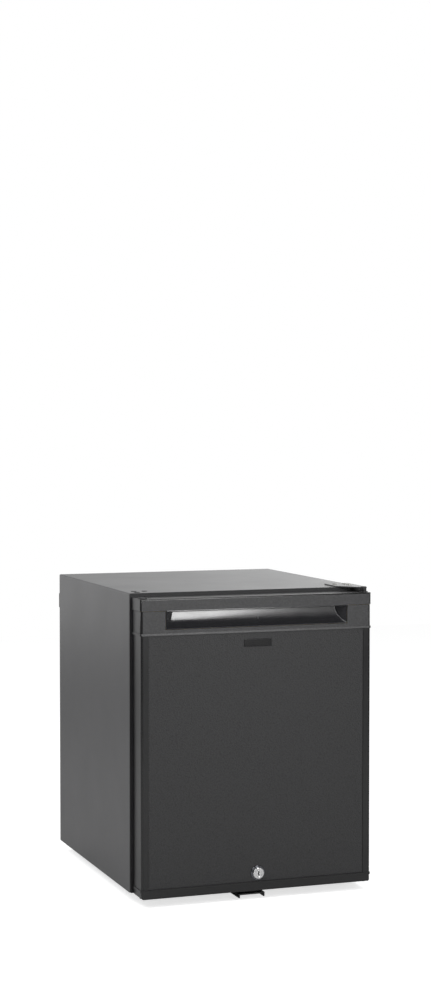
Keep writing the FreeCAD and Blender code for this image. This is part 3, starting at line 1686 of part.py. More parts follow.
def make_lock():
    """The cylinder lock: housing, nut behind the panel, plug with its keyhole, and the cam."""
    zero = as_length(0)
    panel_front = door_front + size.panel_inset
    panel_back = panel_front + size.panel_sheet
    face = door_front - size.lock_proud
    barrel_end = door_front + size.lock_barrel_length
    collar_front = panel_front - size.lock_collar
    housing = fuse(
        "lock_whole",
        rod("lock_collar_disc", "y", (zero, collar_front, lock_z), size.lock_collar, size.lock_collar_radius),
        rod("lock_bezel", "y", (zero, face, lock_z), collar_front - face, size.lock_face_radius),
        rod("lock_barrel", "y", (zero, panel_front, lock_z), barrel_end - panel_front,
            size.lock_barrel_radius),
    )
    bore = rod("lock_bore", "y", (zero, face - size.overrun, lock_z), barrel_end - face + size.overrun * 2,
               size.lock_plug_radius + size.lock_fit)
    node(cut("lock_body", housing, bore), "lock_housing")
    nut = rod("lock_nut_disc", "y", (zero, panel_back, lock_z), size.lock_nut, size.lock_nut_radius)
    nut_hole = lock_hole("lock_nut_hole", size.lock_barrel_radius)
    node(cut("nut", nut, nut_hole), "lock_nut")
    plug = rod("plug_rod", "y", (zero, face, lock_z), cam_y - face, size.lock_plug_radius)
    keyhole = block(
        "keyhole",
        (-size.keyhole_width / 2, size.keyhole_width / 2),
        (face - size.overrun, face + size.keyhole_depth),
        (lock_z - size.keyhole_height / 2, lock_z + size.keyhole_height / 2),
    )
    node(cut("plug", plug, keyhole), "lock_plug")
    tip = size.cam_half_width - size.cam_length
    arm = block("cam_arm", (tip, zero), (cam_y, cam_y + size.cam_thickness),
                (lock_z - size.cam_half_width, lock_z + size.cam_half_width))
    end = rod("cam_tip", "y", (tip, cam_y, lock_z), size.cam_thickness, size.cam_half_width)
    hub = rod("cam_hub", "y", (zero, cam_y, lock_z), size.cam_thickness, size.cam_hub_radius)
    node(fuse("cam", arm, end, hub), "lock_cam")


def make_rack(name, base, height):
    """A door rack: a shallow tray with solid ends, an open band front and lips that hang on the lugs."""
    edge = dyke_outer - size.dyke_width
    half = edge - size.lug_reach - size.rack_lug_side_play
    low = cavity_bottom + base
    high = low + height
    y = (door_back + size.rack_back_play, door_back + size.rack_back_play + size.rack_depth)
    wall = size.rack_wall
    outer = rounded(f"{name}_outer", "z", (-half, half), y, (low, high), size.rack_corner)
    inner = rounded(f"{name}_inner", "z", (-half + wall, half - wall), (y[0] + wall, y[1] - wall),
                    (low + wall, high + size.overrun), size.rack_corner - wall)
    gap = block(
        f"{name}_gap",
        (-half + size.rack_rail, half - size.rack_rail),
        (y[1] - wall - size.overrun, y[1] + size.overrun),
        (high - size.rack_band - size.rack_band_gap, high - size.rack_band),
    )
    lip_high = high
    lip_low = high - size.rack_lip
    lips = []
    for side, span in (
        ("left", (-edge + size.rack_side_play, -half + wall)),
        ("right", (half - wall, edge - size.rack_side_play)),
    ):
        lips.append(
            block(
                f"{name}_lip_{side}",
                span,
                (door_back + size.lug_front, door_back + size.lug_front + size.lug_length),
                (lip_low, lip_high),
            )
        )
    shell = cut(f"{name}_shell", outer, inner, gap)
    node(fuse(f"{name}_body", shell, *lips), name)


# Build order

make_outer_wrapper()
base_panel = make_base_panel()
make_rear_panel()
liner_box, liner_rim = make_inner_liner()
make_cabinet_foam(liner_box, liner_rim, base_panel)
make_front_frame()
make_top_hinge()
make_bottom_hinge()
make_feet()
make_strike()
make_cooling_plate()
make_drip_channel()
make_control_housing()
make_shelf("lower_shelf", lower_shelf_height)
make_shelf("upper_shelf", upper_shelf_height)
heat_exchanger = make_heat_exchanger()
make_evaporator_tube(heat_exchanger)
make_absorber(heat_exchanger)
make_boiler()
make_condenser()
make_straps()
make_control_box()
make_water_tray()
make_spacers()
make_door_cap()
make_handle_housing()
make_handle_scoop()
make_side_strips()
make_door_panel()
make_bottom_trim()
make_badge()
gasket_trough = make_door_liner()
make_door_foam(gasket_trough)
make_gasket()
make_bushes()
make_lock()
for rack_name, rack_base, rack_height in racks:
    make_rack(rack_name, rack_base, rack_height)
doc.recompute()

for item in doc.Objects:
    if "Invalid" in item.State or "Error" in item.State:
        raise RuntimeError(f"{item.Label} failed: {item.State}")
for item in nodes:
    if item.Shape.isNull() or not item.Shape.isValid():
        raise RuntimeError(f"{item.Label} has no valid shape")

os.makedirs("parts", exist_ok=True)
for item in nodes:
    item.Shape.exportStep(f"parts/{item.Label}.step")
    print(f"{item.Label}: {len(item.Shape.Solids)} solids, {item.Shape.Volume / 1000:.1f} cm3")
print(f"{len(nodes)} sub-parts")
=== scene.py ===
# %% [markdown]
# # Dressing a minibar fridge
# The fridge arrives as an engineer's solid model: every sheet, moulding and tube is at its real
# size and in its real place. What it lacks is what the eye believes in: rounded edges, grained
# plastic, brushed metal, screw recesses and light. This script adds those, piece by piece.

import json
import math

import bmesh
import bpy
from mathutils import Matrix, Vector

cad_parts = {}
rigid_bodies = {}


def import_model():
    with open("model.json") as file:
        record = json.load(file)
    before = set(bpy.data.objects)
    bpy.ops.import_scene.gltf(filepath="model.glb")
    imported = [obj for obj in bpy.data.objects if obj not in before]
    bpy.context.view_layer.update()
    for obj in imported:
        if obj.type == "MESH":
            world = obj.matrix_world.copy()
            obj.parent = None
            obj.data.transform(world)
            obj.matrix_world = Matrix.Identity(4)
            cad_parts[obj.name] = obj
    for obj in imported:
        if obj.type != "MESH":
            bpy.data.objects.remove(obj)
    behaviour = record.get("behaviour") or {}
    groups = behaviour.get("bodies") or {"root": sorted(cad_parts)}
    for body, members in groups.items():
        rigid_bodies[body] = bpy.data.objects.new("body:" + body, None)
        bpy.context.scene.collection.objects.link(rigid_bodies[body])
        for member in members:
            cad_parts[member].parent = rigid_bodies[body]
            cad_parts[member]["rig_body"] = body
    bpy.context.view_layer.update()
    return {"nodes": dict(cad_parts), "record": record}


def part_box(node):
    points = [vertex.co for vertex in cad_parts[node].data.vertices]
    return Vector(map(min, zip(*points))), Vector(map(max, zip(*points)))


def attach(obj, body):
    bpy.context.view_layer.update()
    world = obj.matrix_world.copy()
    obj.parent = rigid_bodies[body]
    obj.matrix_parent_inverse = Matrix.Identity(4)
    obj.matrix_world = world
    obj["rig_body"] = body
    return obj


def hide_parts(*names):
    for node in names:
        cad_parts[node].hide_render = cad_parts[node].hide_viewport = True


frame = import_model()
MM = 0.001

# %% [markdown]
# ## Two helpers for materials
# Colours are picked from the eye's scale, written as sRGB hex, while the shader works in linear
# light, so one function turns one into the other. The second helper adds a node and fills or
# links its inputs in the same call, which keeps a material down to a few readable lines. It
# serves the Geometry Nodes trees further down as well, where a node can be handed straight to
# the next one: its first output is taken then.

# %% Colour and node helpers
def linear(hex_colour):
    """An sRGB hex colour as the linear RGBA that a shader works with."""
    channels = [int(hex_colour[start:start + 2], 16) / 255 for start in (1, 3, 5)]
    curve = [c / 12.92 if c <= 0.04045 else ((c + 0.055) / 1.055) ** 2.4 for c in channels]
    return (*curve, 1.0)


def add(tree, kind, values=None, **settings):
    """Add a node, set its properties, then fill or link its inputs by name or number.

    A list of nodes or sockets goes into one input that takes several.
    """
    made = tree.nodes.new(kind)
    for name, value in settings.items():
        setattr(made, name, value)
    for key, value in (values or {}).items():
        for source in value if isinstance(value, list) else [value]:
            source = source.outputs[0] if isinstance(source, bpy.types.Node) else source
            if isinstance(source, bpy.types.NodeSocket):
                tree.links.new(source, made.inputs[key])
            else:
                made.inputs[key].default_value = source
    return made


def new_finish(name, roughness, metallic=0.0, ior=1.5):
    """An empty finish: its tree, its shader and the place on the piece, in metres."""
    material = bpy.data.materials.new(name)
    material.use_nodes = True
    tree = material.node_tree
    shader = tree.nodes["Principled BSDF"]
    shader.inputs["Roughness"].default_value = roughness
    shader.inputs["Metallic"].default_value = metallic
    shader.inputs["IOR"].default_value = ior
    place = add(tree, "ShaderNodeTexCoord").outputs["Object"]
    return material, tree, shader, place


# %% [markdown]
# ## Powder-coated steel
# The cabinet's sheet is sprayed with black powder and baked. The powder melts into a skin with
# a very fine orange peel: tiny waves under a millimetre across that break up reflections and
# turn a black box grey where it mirrors a bright room at a low angle. Broad, faint waves stand
# for the thin sheet itself, which is never quite flat.

# %% Powder coat
SHEET_WAVE_MM = 90
POWDER_GLOSS_SWING = 0.04


def powder_coat(name, colour, fleck, roughness, peel_mm, peel_depth, sheet_depth=0.0):
    """Baked powder paint: two near shades, an orange peel, and the sheet's own slow waves."""
    material, tree, shader, place = new_finish(name, roughness)
    peel = add(tree, "ShaderNodeTexNoise", {"Vector": place, "Scale": 1 / (peel_mm * MM), "Detail": 3.0})
    cloud = add(tree, "ShaderNodeTexNoise", {"Vector": place, "Scale": 1 / (SHEET_WAVE_MM * MM),
                                             "Detail": 3.0})
    shades = add(tree, "ShaderNodeMix", {"Factor": peel.outputs["Fac"], "A": linear(colour),
                                         "B": linear(fleck)}, data_type="RGBA")
    tree.links.new(shades.outputs["Result"], shader.inputs["Base Color"])
    gloss = add(tree, "ShaderNodeMapRange", {"Value": cloud.outputs["Fac"],
                                             "To Min": roughness - POWDER_GLOSS_SWING,
                                             "To Max": roughness + POWDER_GLOSS_SWING})
    tree.links.new(gloss.outputs["Result"], shader.inputs["Roughness"])
    waves = add(tree, "ShaderNodeBump", {"Height": cloud.outputs["Fac"], "Distance": sheet_depth * MM,
                                         "Strength": 1.0})
    skin = add(tree, "ShaderNodeBump", {"Height": peel.outputs["Fac"], "Distance": peel_depth * MM,
                                        "Strength": 1.0, "Normal": waves.outputs["Normal"]})
    tree.links.new(skin.outputs["Normal"], shader.inputs["Normal"])
    return material


# Name, colour, second shade, roughness; then in mm the peel's width and depth and the waves' depth.
black_powder = powder_coat("black_powder_coat", "#323234", "#3c3c3e", 0.34, 0.9, 0.03, 0.25)
unit_powder = powder_coat("unit_black_paint", "#161617", "#1e1e20", 0.42, 1.4, 0.05)
bracket_powder = powder_coat("bracket_black_paint", "#121213", "#19191b", 0.38, 0.8, 0.03)
# Shelf wire is dipped in white plastic powder, which comes out smooth and fairly glossy.
white_powder = powder_coat("white_coated_wire", "#e4e5e3", "#ecedeb", 0.28, 1.5, 0.02)
print("powder coats:", black_powder.name, unit_powder.name, bracket_powder.name, white_powder.name)

# %% [markdown]
# ## Moulded plastic
# Trims, frame, feet and liner are moulded. The steel mould is spark-eroded, so a black trim
# comes out with a fine even grit that scatters light, while the white liner is drawn over a
# polished former and keeps a soft gloss. The same recipe serves all of them: grit for the
# bump, a slow noise for the gloss, and two near shades for the pigment. The real grit is a few
# tenths of a millimetre, too fine for this picture, so on the trims it is drawn coarser, and
# there the pigment carries a painted highlight: a much lighter second shade follows the grit,
# painted where the lit side of each grain would be.

# %% Moulded plastic
FLOW_MM = 55
MOULD_GLOSS_SWING = 0.05


def moulded(name, colour, shade, roughness, grit_mm, grit_depth, ior=1.5, painted_grit_light=False):
    """Moulded plastic or rubber with its mould's grit; painted_grit_light paints the grit's lit side into
    the pigment as a painted highlight.
    """
    material, tree, shader, place = new_finish(name, roughness, ior=ior)
    grit = add(tree, "ShaderNodeTexNoise", {"Vector": place, "Scale": 1 / (grit_mm * MM), "Detail": 4.0,
                                            "Roughness": 0.6})
    flow = add(tree, "ShaderNodeTexNoise", {"Vector": place, "Scale": 1 / (FLOW_MM * MM), "Detail": 2.0})
    blend = grit if painted_grit_light else flow
    pigment = add(tree, "ShaderNodeMix", {"Factor": blend.outputs["Fac"], "A": linear(colour),
                                          "B": linear(shade)}, data_type="RGBA")
    tree.links.new(pigment.outputs["Result"], shader.inputs["Base Color"])
    gloss = add(tree, "ShaderNodeMapRange", {"Value": flow.outputs["Fac"],
                                             "To Min": roughness - MOULD_GLOSS_SWING,
                                             "To Max": roughness + MOULD_GLOSS_SWING})
    tree.links.new(gloss.outputs["Result"], shader.inputs["Roughness"])
    bump = add(tree, "ShaderNodeBump", {"Height": grit.outputs["Fac"], "Distance": grit_depth * MM,
                                        "Strength": 1.0})
    tree.links.new(bump.outputs["Normal"], shader.inputs["Normal"])
    return material


# Name, pigment, second shade, roughness; then in mm the grit's width and depth.
# The trim's much lighter second shade on the grit is a painted highlight of each grain's lit side.
trim_black = moulded("trim_black_abs", "#141415", "#4a4a4b", 0.42, 2.6, 0.12, painted_grit_light=True)
edge_black = moulded("edge_strip_black_abs", "#111112", "#151516", 0.32, 0.8, 0.012)
frame_black = moulded("frame_black_abs", "#18181a", "#1f1f21", 0.5, 0.6, 0.04)
# The corner's darker pigment is a painted reflection of the room's dark side; its lower roughness is the
# real polish.
corner_gloss_painted_dark = moulded("polished_corner_painted_dark", "#0f0f10", "#131314", 0.24, 0.9, 0.008)
badge_black = moulded("badge_satin_black_abs", "#0c0c0d", "#101011", 0.28, 0.5, 0.01)
foot_rubber = moulded("foot_rubber", "#151516", "#1b1b1c", 0.75, 1.0, 0.08)
gasket_pvc = moulded("gasket_soft_pvc", "#141415", "#1a1a1b", 0.5, 0.8, 0.02)
bush_nylon = moulded("bush_black_nylon", "#232324", "#2a2a2b", 0.42, 0.8, 0.02)
liner_white = moulded("liner_white_styrene", "#e6e8e8", "#eceeee", 0.3, 2.4, 0.03, ior=1.59)
rack_white = moulded("rack_white_styrene", "#e2e5e6", "#e9ecec", 0.24, 1.8, 0.015, ior=1.59)
knob_grey = moulded("knob_light_grey_abs", "#cfd2d4", "#d6d9da", 0.38, 0.8, 0.03)
sensor_white = moulded("sensor_white_nylon", "#e2e1da", "#e8e7e1", 0.4, 0.9, 0.02)
print("moulded plastics made")

# %% [markdown]
# ## The door's grained sheet
# The door's front is a steel sheet with a printed and embossed film, like the cover of a book:
# low pebbles about two millimetres across with soft creases between them. Voronoi cells give the
# pebbles; a noise that shifts the lookup keeps them from looking like tiles. The creases are
# painted darker than the pebbles' crowns: painted shade.

# %% Grained door film
PEBBLE_MM = 2.0
PEBBLE_DEPTH_MM = 0.3
DRIFT_MM = 2.2
DRIFT_REACH_MM = 1.1
FILM_GRIT_MM = 0.5
FILM_GRIT_DEPTH_MM = 0.03


def grained_film():
    """Embossed black film: pebbles, creases painted darker as painted shade, and a gloss that goes with
    them.
    """
    material, tree, shader, place = new_finish("door_embossed_film", 0.5)
    drift = add(tree, "ShaderNodeTexNoise", {"Vector": place, "Scale": 1 / (DRIFT_MM * MM), "Detail": 2.0})
    shift = add(tree, "ShaderNodeVectorMath", {0: drift.outputs["Color"], "Scale": DRIFT_REACH_MM * MM},
                operation="SCALE")
    lookup = add(tree, "ShaderNodeVectorMath", {0: place, 1: shift.outputs["Vector"]}, operation="ADD")
    pebbles = add(tree, "ShaderNodeTexVoronoi", {"Vector": lookup.outputs["Vector"],
                                                 "Scale": 1 / (PEBBLE_MM * MM)}, feature="SMOOTH_F1")
    grit = add(tree, "ShaderNodeTexNoise", {"Vector": place, "Scale": 1 / (FILM_GRIT_MM * MM),
                                            "Detail": 2.0})
    # Painted shade: the colour goes from the lighter pebble crowns to the darker creases between them.
    colour = add(tree, "ShaderNodeMix", {"Factor": pebbles.outputs["Distance"], "A": linear("#2c2c2d"),
                                         "B": linear("#1a1a1b")}, data_type="RGBA")
    tree.links.new(colour.outputs["Result"], shader.inputs["Base Color"])
    gloss = add(tree, "ShaderNodeMapRange", {"Value": pebbles.outputs["Distance"], "To Min": 0.44,
                                             "To Max": 0.62})
    tree.links.new(gloss.outputs["Result"], shader.inputs["Roughness"])
    fine = add(tree, "ShaderNodeBump", {"Height": grit.outputs["Fac"],
                                        "Distance": FILM_GRIT_DEPTH_MM * MM, "Strength": 1.0})
    emboss = add(tree, "ShaderNodeBump", {"Height": pebbles.outputs["Distance"],
                                          "Distance": PEBBLE_DEPTH_MM * MM, "Strength": 1.0,
                                          "Normal": fine.outputs["Normal"]}, invert=True)
    tree.links.new(emboss.outputs["Normal"], shader.inputs["Normal"])
    return material


door_film = grained_film()
print("door film:", door_film.name)

# %% [markdown]
# ## Polished black plastic
# The recess behind the handle is lined with a polished black moulding. Most of what it shows is
# what it mirrors, with soft borders, since no mould is polished quite like glass. A slow noise
# in the roughness stands for the haze of handling, and a coat on top keeps the mirrored streak
# of light narrow.

# %% Polished scoop
HAZE_MM = 14


def polished_black():
    """High-gloss black moulding with a breath of handling haze."""
    material, tree, shader, place = new_finish("scoop_polished_abs", 0.1)
    haze = add(tree, "ShaderNodeTexNoise", {"Vector": place, "Scale": 1 / (HAZE_MM * MM),
                                            "Detail": 5.0})
    pigment = add(tree, "ShaderNodeMix", {"Factor": haze.outputs["Fac"], "A": linear("#222224"),
                                          "B": linear("#28282a")}, data_type="RGBA")
    tree.links.new(pigment.outputs["Result"], shader.inputs["Base Color"])
    gloss = add(tree, "ShaderNodeMapRange", {"Value": haze.outputs["Fac"], "From Min": 0.35,
                                             "From Max": 0.75, "To Min": 0.22, "To Max": 0.28})
    tree.links.new(gloss.outputs["Result"], shader.inputs["Roughness"])
    shader.inputs["Coat Weight"].default_value = 1.0
    shader.inputs["Coat Roughness"].default_value = 0.15
    return material


scoop_black = polished_black()
print("scoop:", scoop_black.name)

# %% [markdown]
# ## Bare and plated metal
# Screws are zinc plated, the cooling plate is mill aluminium, the boiler's jacket is bright
# sheet and the lock's face is turned and chromed. All are metals, so colour lives in the
# reflection, and the maker's tool shows as lines: rolled sheet has lines one way, which a noise
# squeezed along one axis gives.

# %% Metals
TARNISH_MM = 25


def rolled_metal(name, colour, tarnish, roughness, lines_mm, run, line_depth=0.02):
    """Metal with lines along one axis; run is how far each line stretches, by axis."""
    material, tree, shader, place = new_finish(name, roughness, metallic=1.0)
    squeeze = add(tree, "ShaderNodeMapping", {"Vector": place, "Scale": run})
    lines = add(tree, "ShaderNodeTexNoise", {"Vector": squeeze.outputs["Vector"],
                                             "Scale": 1 / (lines_mm * MM), "Detail": 3.0})
    cloud = add(tree, "ShaderNodeTexNoise", {"Vector": place, "Scale": 1 / (TARNISH_MM * MM),
                                             "Detail": 4.0})
    tone = add(tree, "ShaderNodeMix", {"Factor": cloud.outputs["Fac"], "A": linear(colour),
                                       "B": linear(tarnish)}, data_type="RGBA")
    tree.links.new(tone.outputs["Result"], shader.inputs["Base Color"])
    gloss = add(tree, "ShaderNodeMapRange", {"Value": lines.outputs["Fac"], "From Min": 0.3,
                                             "From Max": 0.7, "To Min": roughness - 0.08,
                                             "To Max": roughness + 0.1})
    tree.links.new(gloss.outputs["Result"], shader.inputs["Roughness"])
    bump = add(tree, "ShaderNodeBump", {"Height": lines.outputs["Fac"], "Distance": line_depth * MM,
                                        "Strength": 1.0})
    tree.links.new(bump.outputs["Normal"], shader.inputs["Normal"])
    return material


# Name, colour, tarnish, roughness, the lines' width in mm, their run by axis, their depth in mm.
zinc = rolled_metal("zinc_plated_steel", "#b9b9b4", "#a9a8a0", 0.34, 0.6, (1.0, 1.0, 1.0))
galvanised = rolled_metal("galvanised_sheet", "#b4b6b6", "#a2a5a6", 0.4, 1.2, (0.2, 1.0, 1.0))
aluminium = rolled_metal("mill_aluminium", "#cfd1d2", "#c2c5c7", 0.32, 0.5, (1.0, 1.0, 0.03))
jacket_sheet = rolled_metal("aluminised_boiler_sheet", "#bdbebd", "#adaead", 0.36, 0.9, (1.0, 1.0, 0.08))
lock_chrome = rolled_metal("satin_chrome", "#e0e0e0", "#d6d6d7", 0.26, 0.4, (1.0, 0.1, 1.0), 0.006)
collar_chrome = rolled_metal("black_chrome", "#6a6b6f", "#5d5e62", 0.16, 0.5, (1.0, 1.0, 1.0), 0.004)
print("metals made")

# %% [markdown]
# ## Foam, lens and lamp board
# Rigid foam hides between shell and liner, yet it still gets its open, creamy bubbles. The
# lamp's cover is frosted: light goes through it, so it transmits, with a rough surface. The
# board behind it is green glass-fibre laminate.

# %% Foam, lens and board
BUBBLE_MM = 1.5
BUBBLE_DEPTH_MM = 0.4
FROST_MM = 1.1
FROST_DEPTH_MM = 0.05


def rigid_foam():
    """Creamy foam with millimetre bubbles."""
    material, tree, shader, place = new_finish("polyurethane_foam", 0.9)
    bubbles = add(tree, "ShaderNodeTexVoronoi", {"Vector": place, "Scale": 1 / (BUBBLE_MM * MM)})
    tone = add(tree, "ShaderNodeMix", {"Factor": bubbles.outputs["Distance"], "A": linear("#c9b27a"),
                                       "B": linear("#e2cf9c")}, data_type="RGBA")
    bump = add(tree, "ShaderNodeBump", {"Height": bubbles.outputs["Distance"],
                                        "Distance": BUBBLE_DEPTH_MM * MM, "Strength": 1.0})
    tree.links.new(tone.outputs["Result"], shader.inputs["Base Color"])
    tree.links.new(bump.outputs["Normal"], shader.inputs["Normal"])
    return material


def frosted_lens():
    """Frosted polycarbonate, white where it is thick."""
    material, tree, shader, place = new_finish("frosted_polycarbonate", 0.35, ior=1.58)
    frost = add(tree, "ShaderNodeTexNoise", {"Vector": place, "Scale": 1 / (FROST_MM * MM), "Detail": 3.0})
    tone = add(tree, "ShaderNodeMix", {"Factor": frost.outputs["Fac"], "A": linear("#eef0ee"),
                                       "B": linear("#f6f7f5")}, data_type="RGBA")
    bump = add(tree, "ShaderNodeBump", {"Height": frost.outputs["Fac"], "Distance": FROST_DEPTH_MM * MM,
                                        "Strength": 1.0})
    shader.inputs["Transmission Weight"].default_value = 0.35
    tree.links.new(tone.outputs["Result"], shader.inputs["Base Color"])
    tree.links.new(bump.outputs["Normal"], shader.inputs["Normal"])
    return material


foam_cream = rigid_foam()
lens_frost = frosted_lens()
board_green = moulded("lamp_board_laminate", "#1f5a36", "#26663e", 0.35, 0.6, 0.01)
print("foam, lens and board made")

# %% [markdown]
# ## A finish for every piece of the model
# The record that came with the model says which finish each solid takes. One table joins
# those names to the materials above, and a loop paints all the solids, the hidden ones too.

# %% Paint the solids
FINISHES = {
    "cabinet_paint": black_powder,
    "base_steel": galvanised,
    "liner_plastic": liner_white,
    "foam": foam_cream,
    "frame_plastic": frame_black,
    "zinc_steel": zinc,
    "hinge_screw_steel": zinc,
    "black_steel": bracket_powder,
    "foot_rubber": foot_rubber,
    "cooling_aluminium": aluminium,
    "sensor_plastic": sensor_white,
    "lens_plastic": lens_frost,
    "board": board_green,
    "knob_plastic": knob_grey,
    "white_wire": white_powder,
    "unit_paint": unit_powder,
    "boiler_sheet": jacket_sheet,
    "trim_plastic": trim_black,
    "scoop_plastic": scoop_black,
    "panel_paint": door_film,
    "badge_plastic": badge_black,
    "gasket_rubber": gasket_pvc,
    "bush_plastic": bush_nylon,
    "lock_chrome": lock_chrome,
    "rack_plastic": rack_white,
}
slot_of = {part["node"]: part["material_slot"] for part in frame["record"]["subparts"]}
body_of = {name: item["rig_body"] for name, item in frame["nodes"].items()}
for name, item in frame["nodes"].items():
    item.data.materials.clear()
    item.data.materials.append(FINISHES[slot_of[name]])
print("painted", len(slot_of), "solids")

# %% [markdown]
# ## Softening the edges
# No real edge is sharp: sheet is folded, plastic leaves a mould with small radii, and those
# radii are where the light catches. A copy of each solid is welded into one skin, its flat
# faces are joined, and a Bevel rounds only the long hard edges, so that small holes don't
# limit the width. The Weighted Normal modifier then lets the big flat faces lead the shading;
# without it every rounding would tilt the light across the whole face beside it. Where a
# corner needs a far bigger radius than its neighbours allow, a prism with a hollow
# quarter-round face cuts it first. The copy then stands for the solid.

# %% Shading and placing
SHARP_DEGREES = 35
MERGE_MM = 0.0005


def shown(name, mesh):
    """An object for a mesh, in the scene."""
    item = bpy.data.objects.new(name, mesh)
    bpy.context.scene.collection.objects.link(item)
    return item


def worked_mesh(item):
    """The object's mesh with its modifiers worked in."""
    bpy.context.view_layer.update()
    return bpy.data.meshes.new_from_object(item.evaluated_get(bpy.context.evaluated_depsgraph_get()))


def evenly_shaded(item, sharp_degrees=SHARP_DEGREES):
    """Smooth shading that keeps the hard edges hard and lets no rounding bend a big flat face."""
    mesh = item.data
    if "custom_normal" in mesh.attributes:
        mesh.attributes.remove(mesh.attributes["custom_normal"])
    mesh.polygons.foreach_set("use_smooth", [True] * len(mesh.polygons))
    mesh.set_sharp_from_angle(angle=math.radians(sharp_degrees))
    level = item.modifiers.new("Flat faces lead", "WEIGHTED_NORMAL")
    level.keep_sharp = True
    item.data = worked_mesh(item)
    item.modifiers.clear()
    return item


def from_skin(name, skin):
    """Turn a bmesh into an object, with its doubles merged and its faces outward."""
    bmesh.ops.remove_doubles(skin, verts=skin.verts, dist=MERGE_MM * MM)
    bmesh.ops.recalc_face_normals(skin, faces=skin.faces)
    mesh = bpy.data.meshes.new(name)
    skin.to_mesh(mesh)
    skin.free()
    return evenly_shaded(shown(name, mesh))


def settled(item, name, sharp_degrees=SHARP_DEGREES):
    """The object with its modifiers worked in, as a plain mesh object at the origin."""
    mesh = worked_mesh(item)
    bpy.data.objects.remove(item)
    return evenly_shaded(shown(name, mesh), sharp_degrees)


def placed(item, body, finish, slot, *nodes):
    """Paint a piece, hang it on its body and hide the solids that it stands for."""
    item.data.materials.clear()
    item.data.materials.append(finish)
    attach(item, body)
    if nodes:
        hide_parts(*nodes)
    return item


# %% Edge softener
WELD_MM = 0.002
FLAT_DEGREES = 0.5
HARD_DEGREES = 30


def welded(node, name):
    """A copy of a solid as one skin: doubles merged, flat faces joined."""
    mesh = frame["nodes"][node].data.copy()
    skin = bmesh.new()
    skin.from_mesh(mesh)
    bmesh.ops.remove_doubles(skin, verts=skin.verts, dist=WELD_MM * MM)
    bmesh.ops.dissolve_limit(skin, angle_limit=math.radians(FLAT_DEGREES), verts=skin.verts,
                             edges=skin.edges)
    skin.to_mesh(mesh)
    skin.free()
    return shown(name, mesh)


def rounded_edges(item, edge_mm, steps, shortest_mm):
    """A Bevel on the hard edges that are longer than the shortest length."""
    mesh = item.data
    marks = mesh.attributes.new("bevel_weight_edge", "FLOAT", "EDGE")
    outline = bmesh.new()
    outline.from_mesh(mesh)
    for number, edge in enumerate(outline.edges):
        hard = len(edge.link_faces) == 2 and edge.calc_face_angle() > math.radians(HARD_DEGREES)
        marks.data[number].value = float(hard and edge.calc_length() > shortest_mm * MM)
    outline.free()
    bevel = item.modifiers.new("Rounding", "BEVEL")
    bevel.width = edge_mm * MM
    bevel.segments = steps
    bevel.limit_method = "WEIGHT"


def carved(item, name, cutters):
    """The object with every cutter taken off it; the cutters are used up."""
    for cutter in cutters:
        carve = item.modifiers.new("Corner", "BOOLEAN")
        carve.operation = "DIFFERENCE"
        carve.object = cutter
    item = settled(item, name)
    for cutter in cutters:
        bpy.data.objects.remove(cutter)
    return item


def softened(node, name, edge_mm, steps=3, shortest_mm=6.0, cutters=(), finish=None):
    """A copy of a solid, cut and then rounded on its long hard edges; it takes the solid's place."""
    item = welded(node, name)
    if cutters:
        item = carved(item, name, cutters)
    rounded_edges(item, edge_mm, steps, shortest_mm)
    item.modifiers["Rounding"].use_clamp_overlap = not cutters
    item = settled(item, name)
    return placed(item, body_of[node], finish or FINISHES[slot_of[node]], slot_of[node], node)


# %% [markdown]
# ## Outlines, prisms and turned pieces
# Three shapes come back again and again. An outline is a list of corners, each with its own
# radius. A prism draws an outline out along an axis, like an extrusion. A turned piece spins an
# outline round an axis, as a lathe does. All three work in millimetres and put the points
# straight where they belong, so the objects never need moving.

# %% Outline, prism and lathe
ACROSS = {
    "x": lambda a, b, along: (along, a, b),
    "y": lambda a, b, along: (a, along, b),
    "z": lambda a, b, along: (a, b, along),
}


def swung(start, stop, share):
    """The arm from an arc's centre, swung part of the way from start to stop."""
    return start.normalized().slerp(stop.normalized(), share) * start.length


def eased(corners, steps=6):
    """Corners of (a, b, radius) as an outline, each corner an arc of its own radius."""
    outline = []
    for number, (a, b, radius) in enumerate(corners):
        here = Vector((a, b))
        if not radius:
            outline.append((a, b))
            continue
        back = (Vector(corners[number - 1][:2]) - here).normalized()
        ahead = (Vector(corners[(number + 1) % len(corners)][:2]) - here).normalized()
        half = back.angle(ahead) / 2
        centre = here + (back + ahead).normalized() * radius / math.sin(half)
        start = here + back * radius / math.tan(half) - centre
        stop = here + ahead * radius / math.tan(half) - centre
        outline += [tuple(centre + swung(start, stop, step / steps)) for step in range(steps + 1)]
    return outline


def prism(name, outline, axis, low, high):
    """An outline in mm drawn out along an axis."""
    skin = bmesh.new()
    ends = [
        [skin.verts.new([v * MM for v in ACROSS[axis](a, b, level)]) for a, b in outline]
        for level in (low, high)
    ]
    for end in ends:
        skin.faces.new(end)
    for near, far in zip(range(len(outline)), list(range(1, len(outline))) + [0]):
        skin.faces.new((ends[0][near], ends[0][far], ends[1][far], ends[1][near]))
    return from_skin(name, skin)


def turned(name, outline, axis, a, b, steps=96):
    """A closed outline of (radius, along) in mm, spun round an axis that stands at a, b."""
    skin = bmesh.new()
    rings = []
    for radius, along in outline:
        turns = [math.tau * step / steps for step in range(steps)]
        spots = [(a + radius * math.cos(turn), b + radius * math.sin(turn)) for turn in turns]
        rings.append([skin.verts.new([v * MM for v in ACROSS[axis](*spot, along)]) for spot in spots])
    for here, there in zip(rings, rings[1:] + rings[:1]):
        for near in range(steps):
            far = (near + 1) % steps
            skin.faces.new((here[near], here[far], there[far], there[near]))
    return from_skin(name, skin)


print("outline, prism and lathe ready")

# %% [markdown]
# ## Geometry Nodes from Python
# What repeats is made by Geometry Nodes, the way a workshop uses a jig: screws, fins and shelf
# wires are one shape, put down many times. A small class of tree is built node by node, and
# the modifier's inputs are filled by the socket's identifier, because a socket's name can
# be used twice. The result is turned into a plain mesh, which any other program can read.

# %% Node tree helpers
SOCKETS = {float: "NodeSocketFloat", int: "NodeSocketInt", tuple: "NodeSocketVector"}


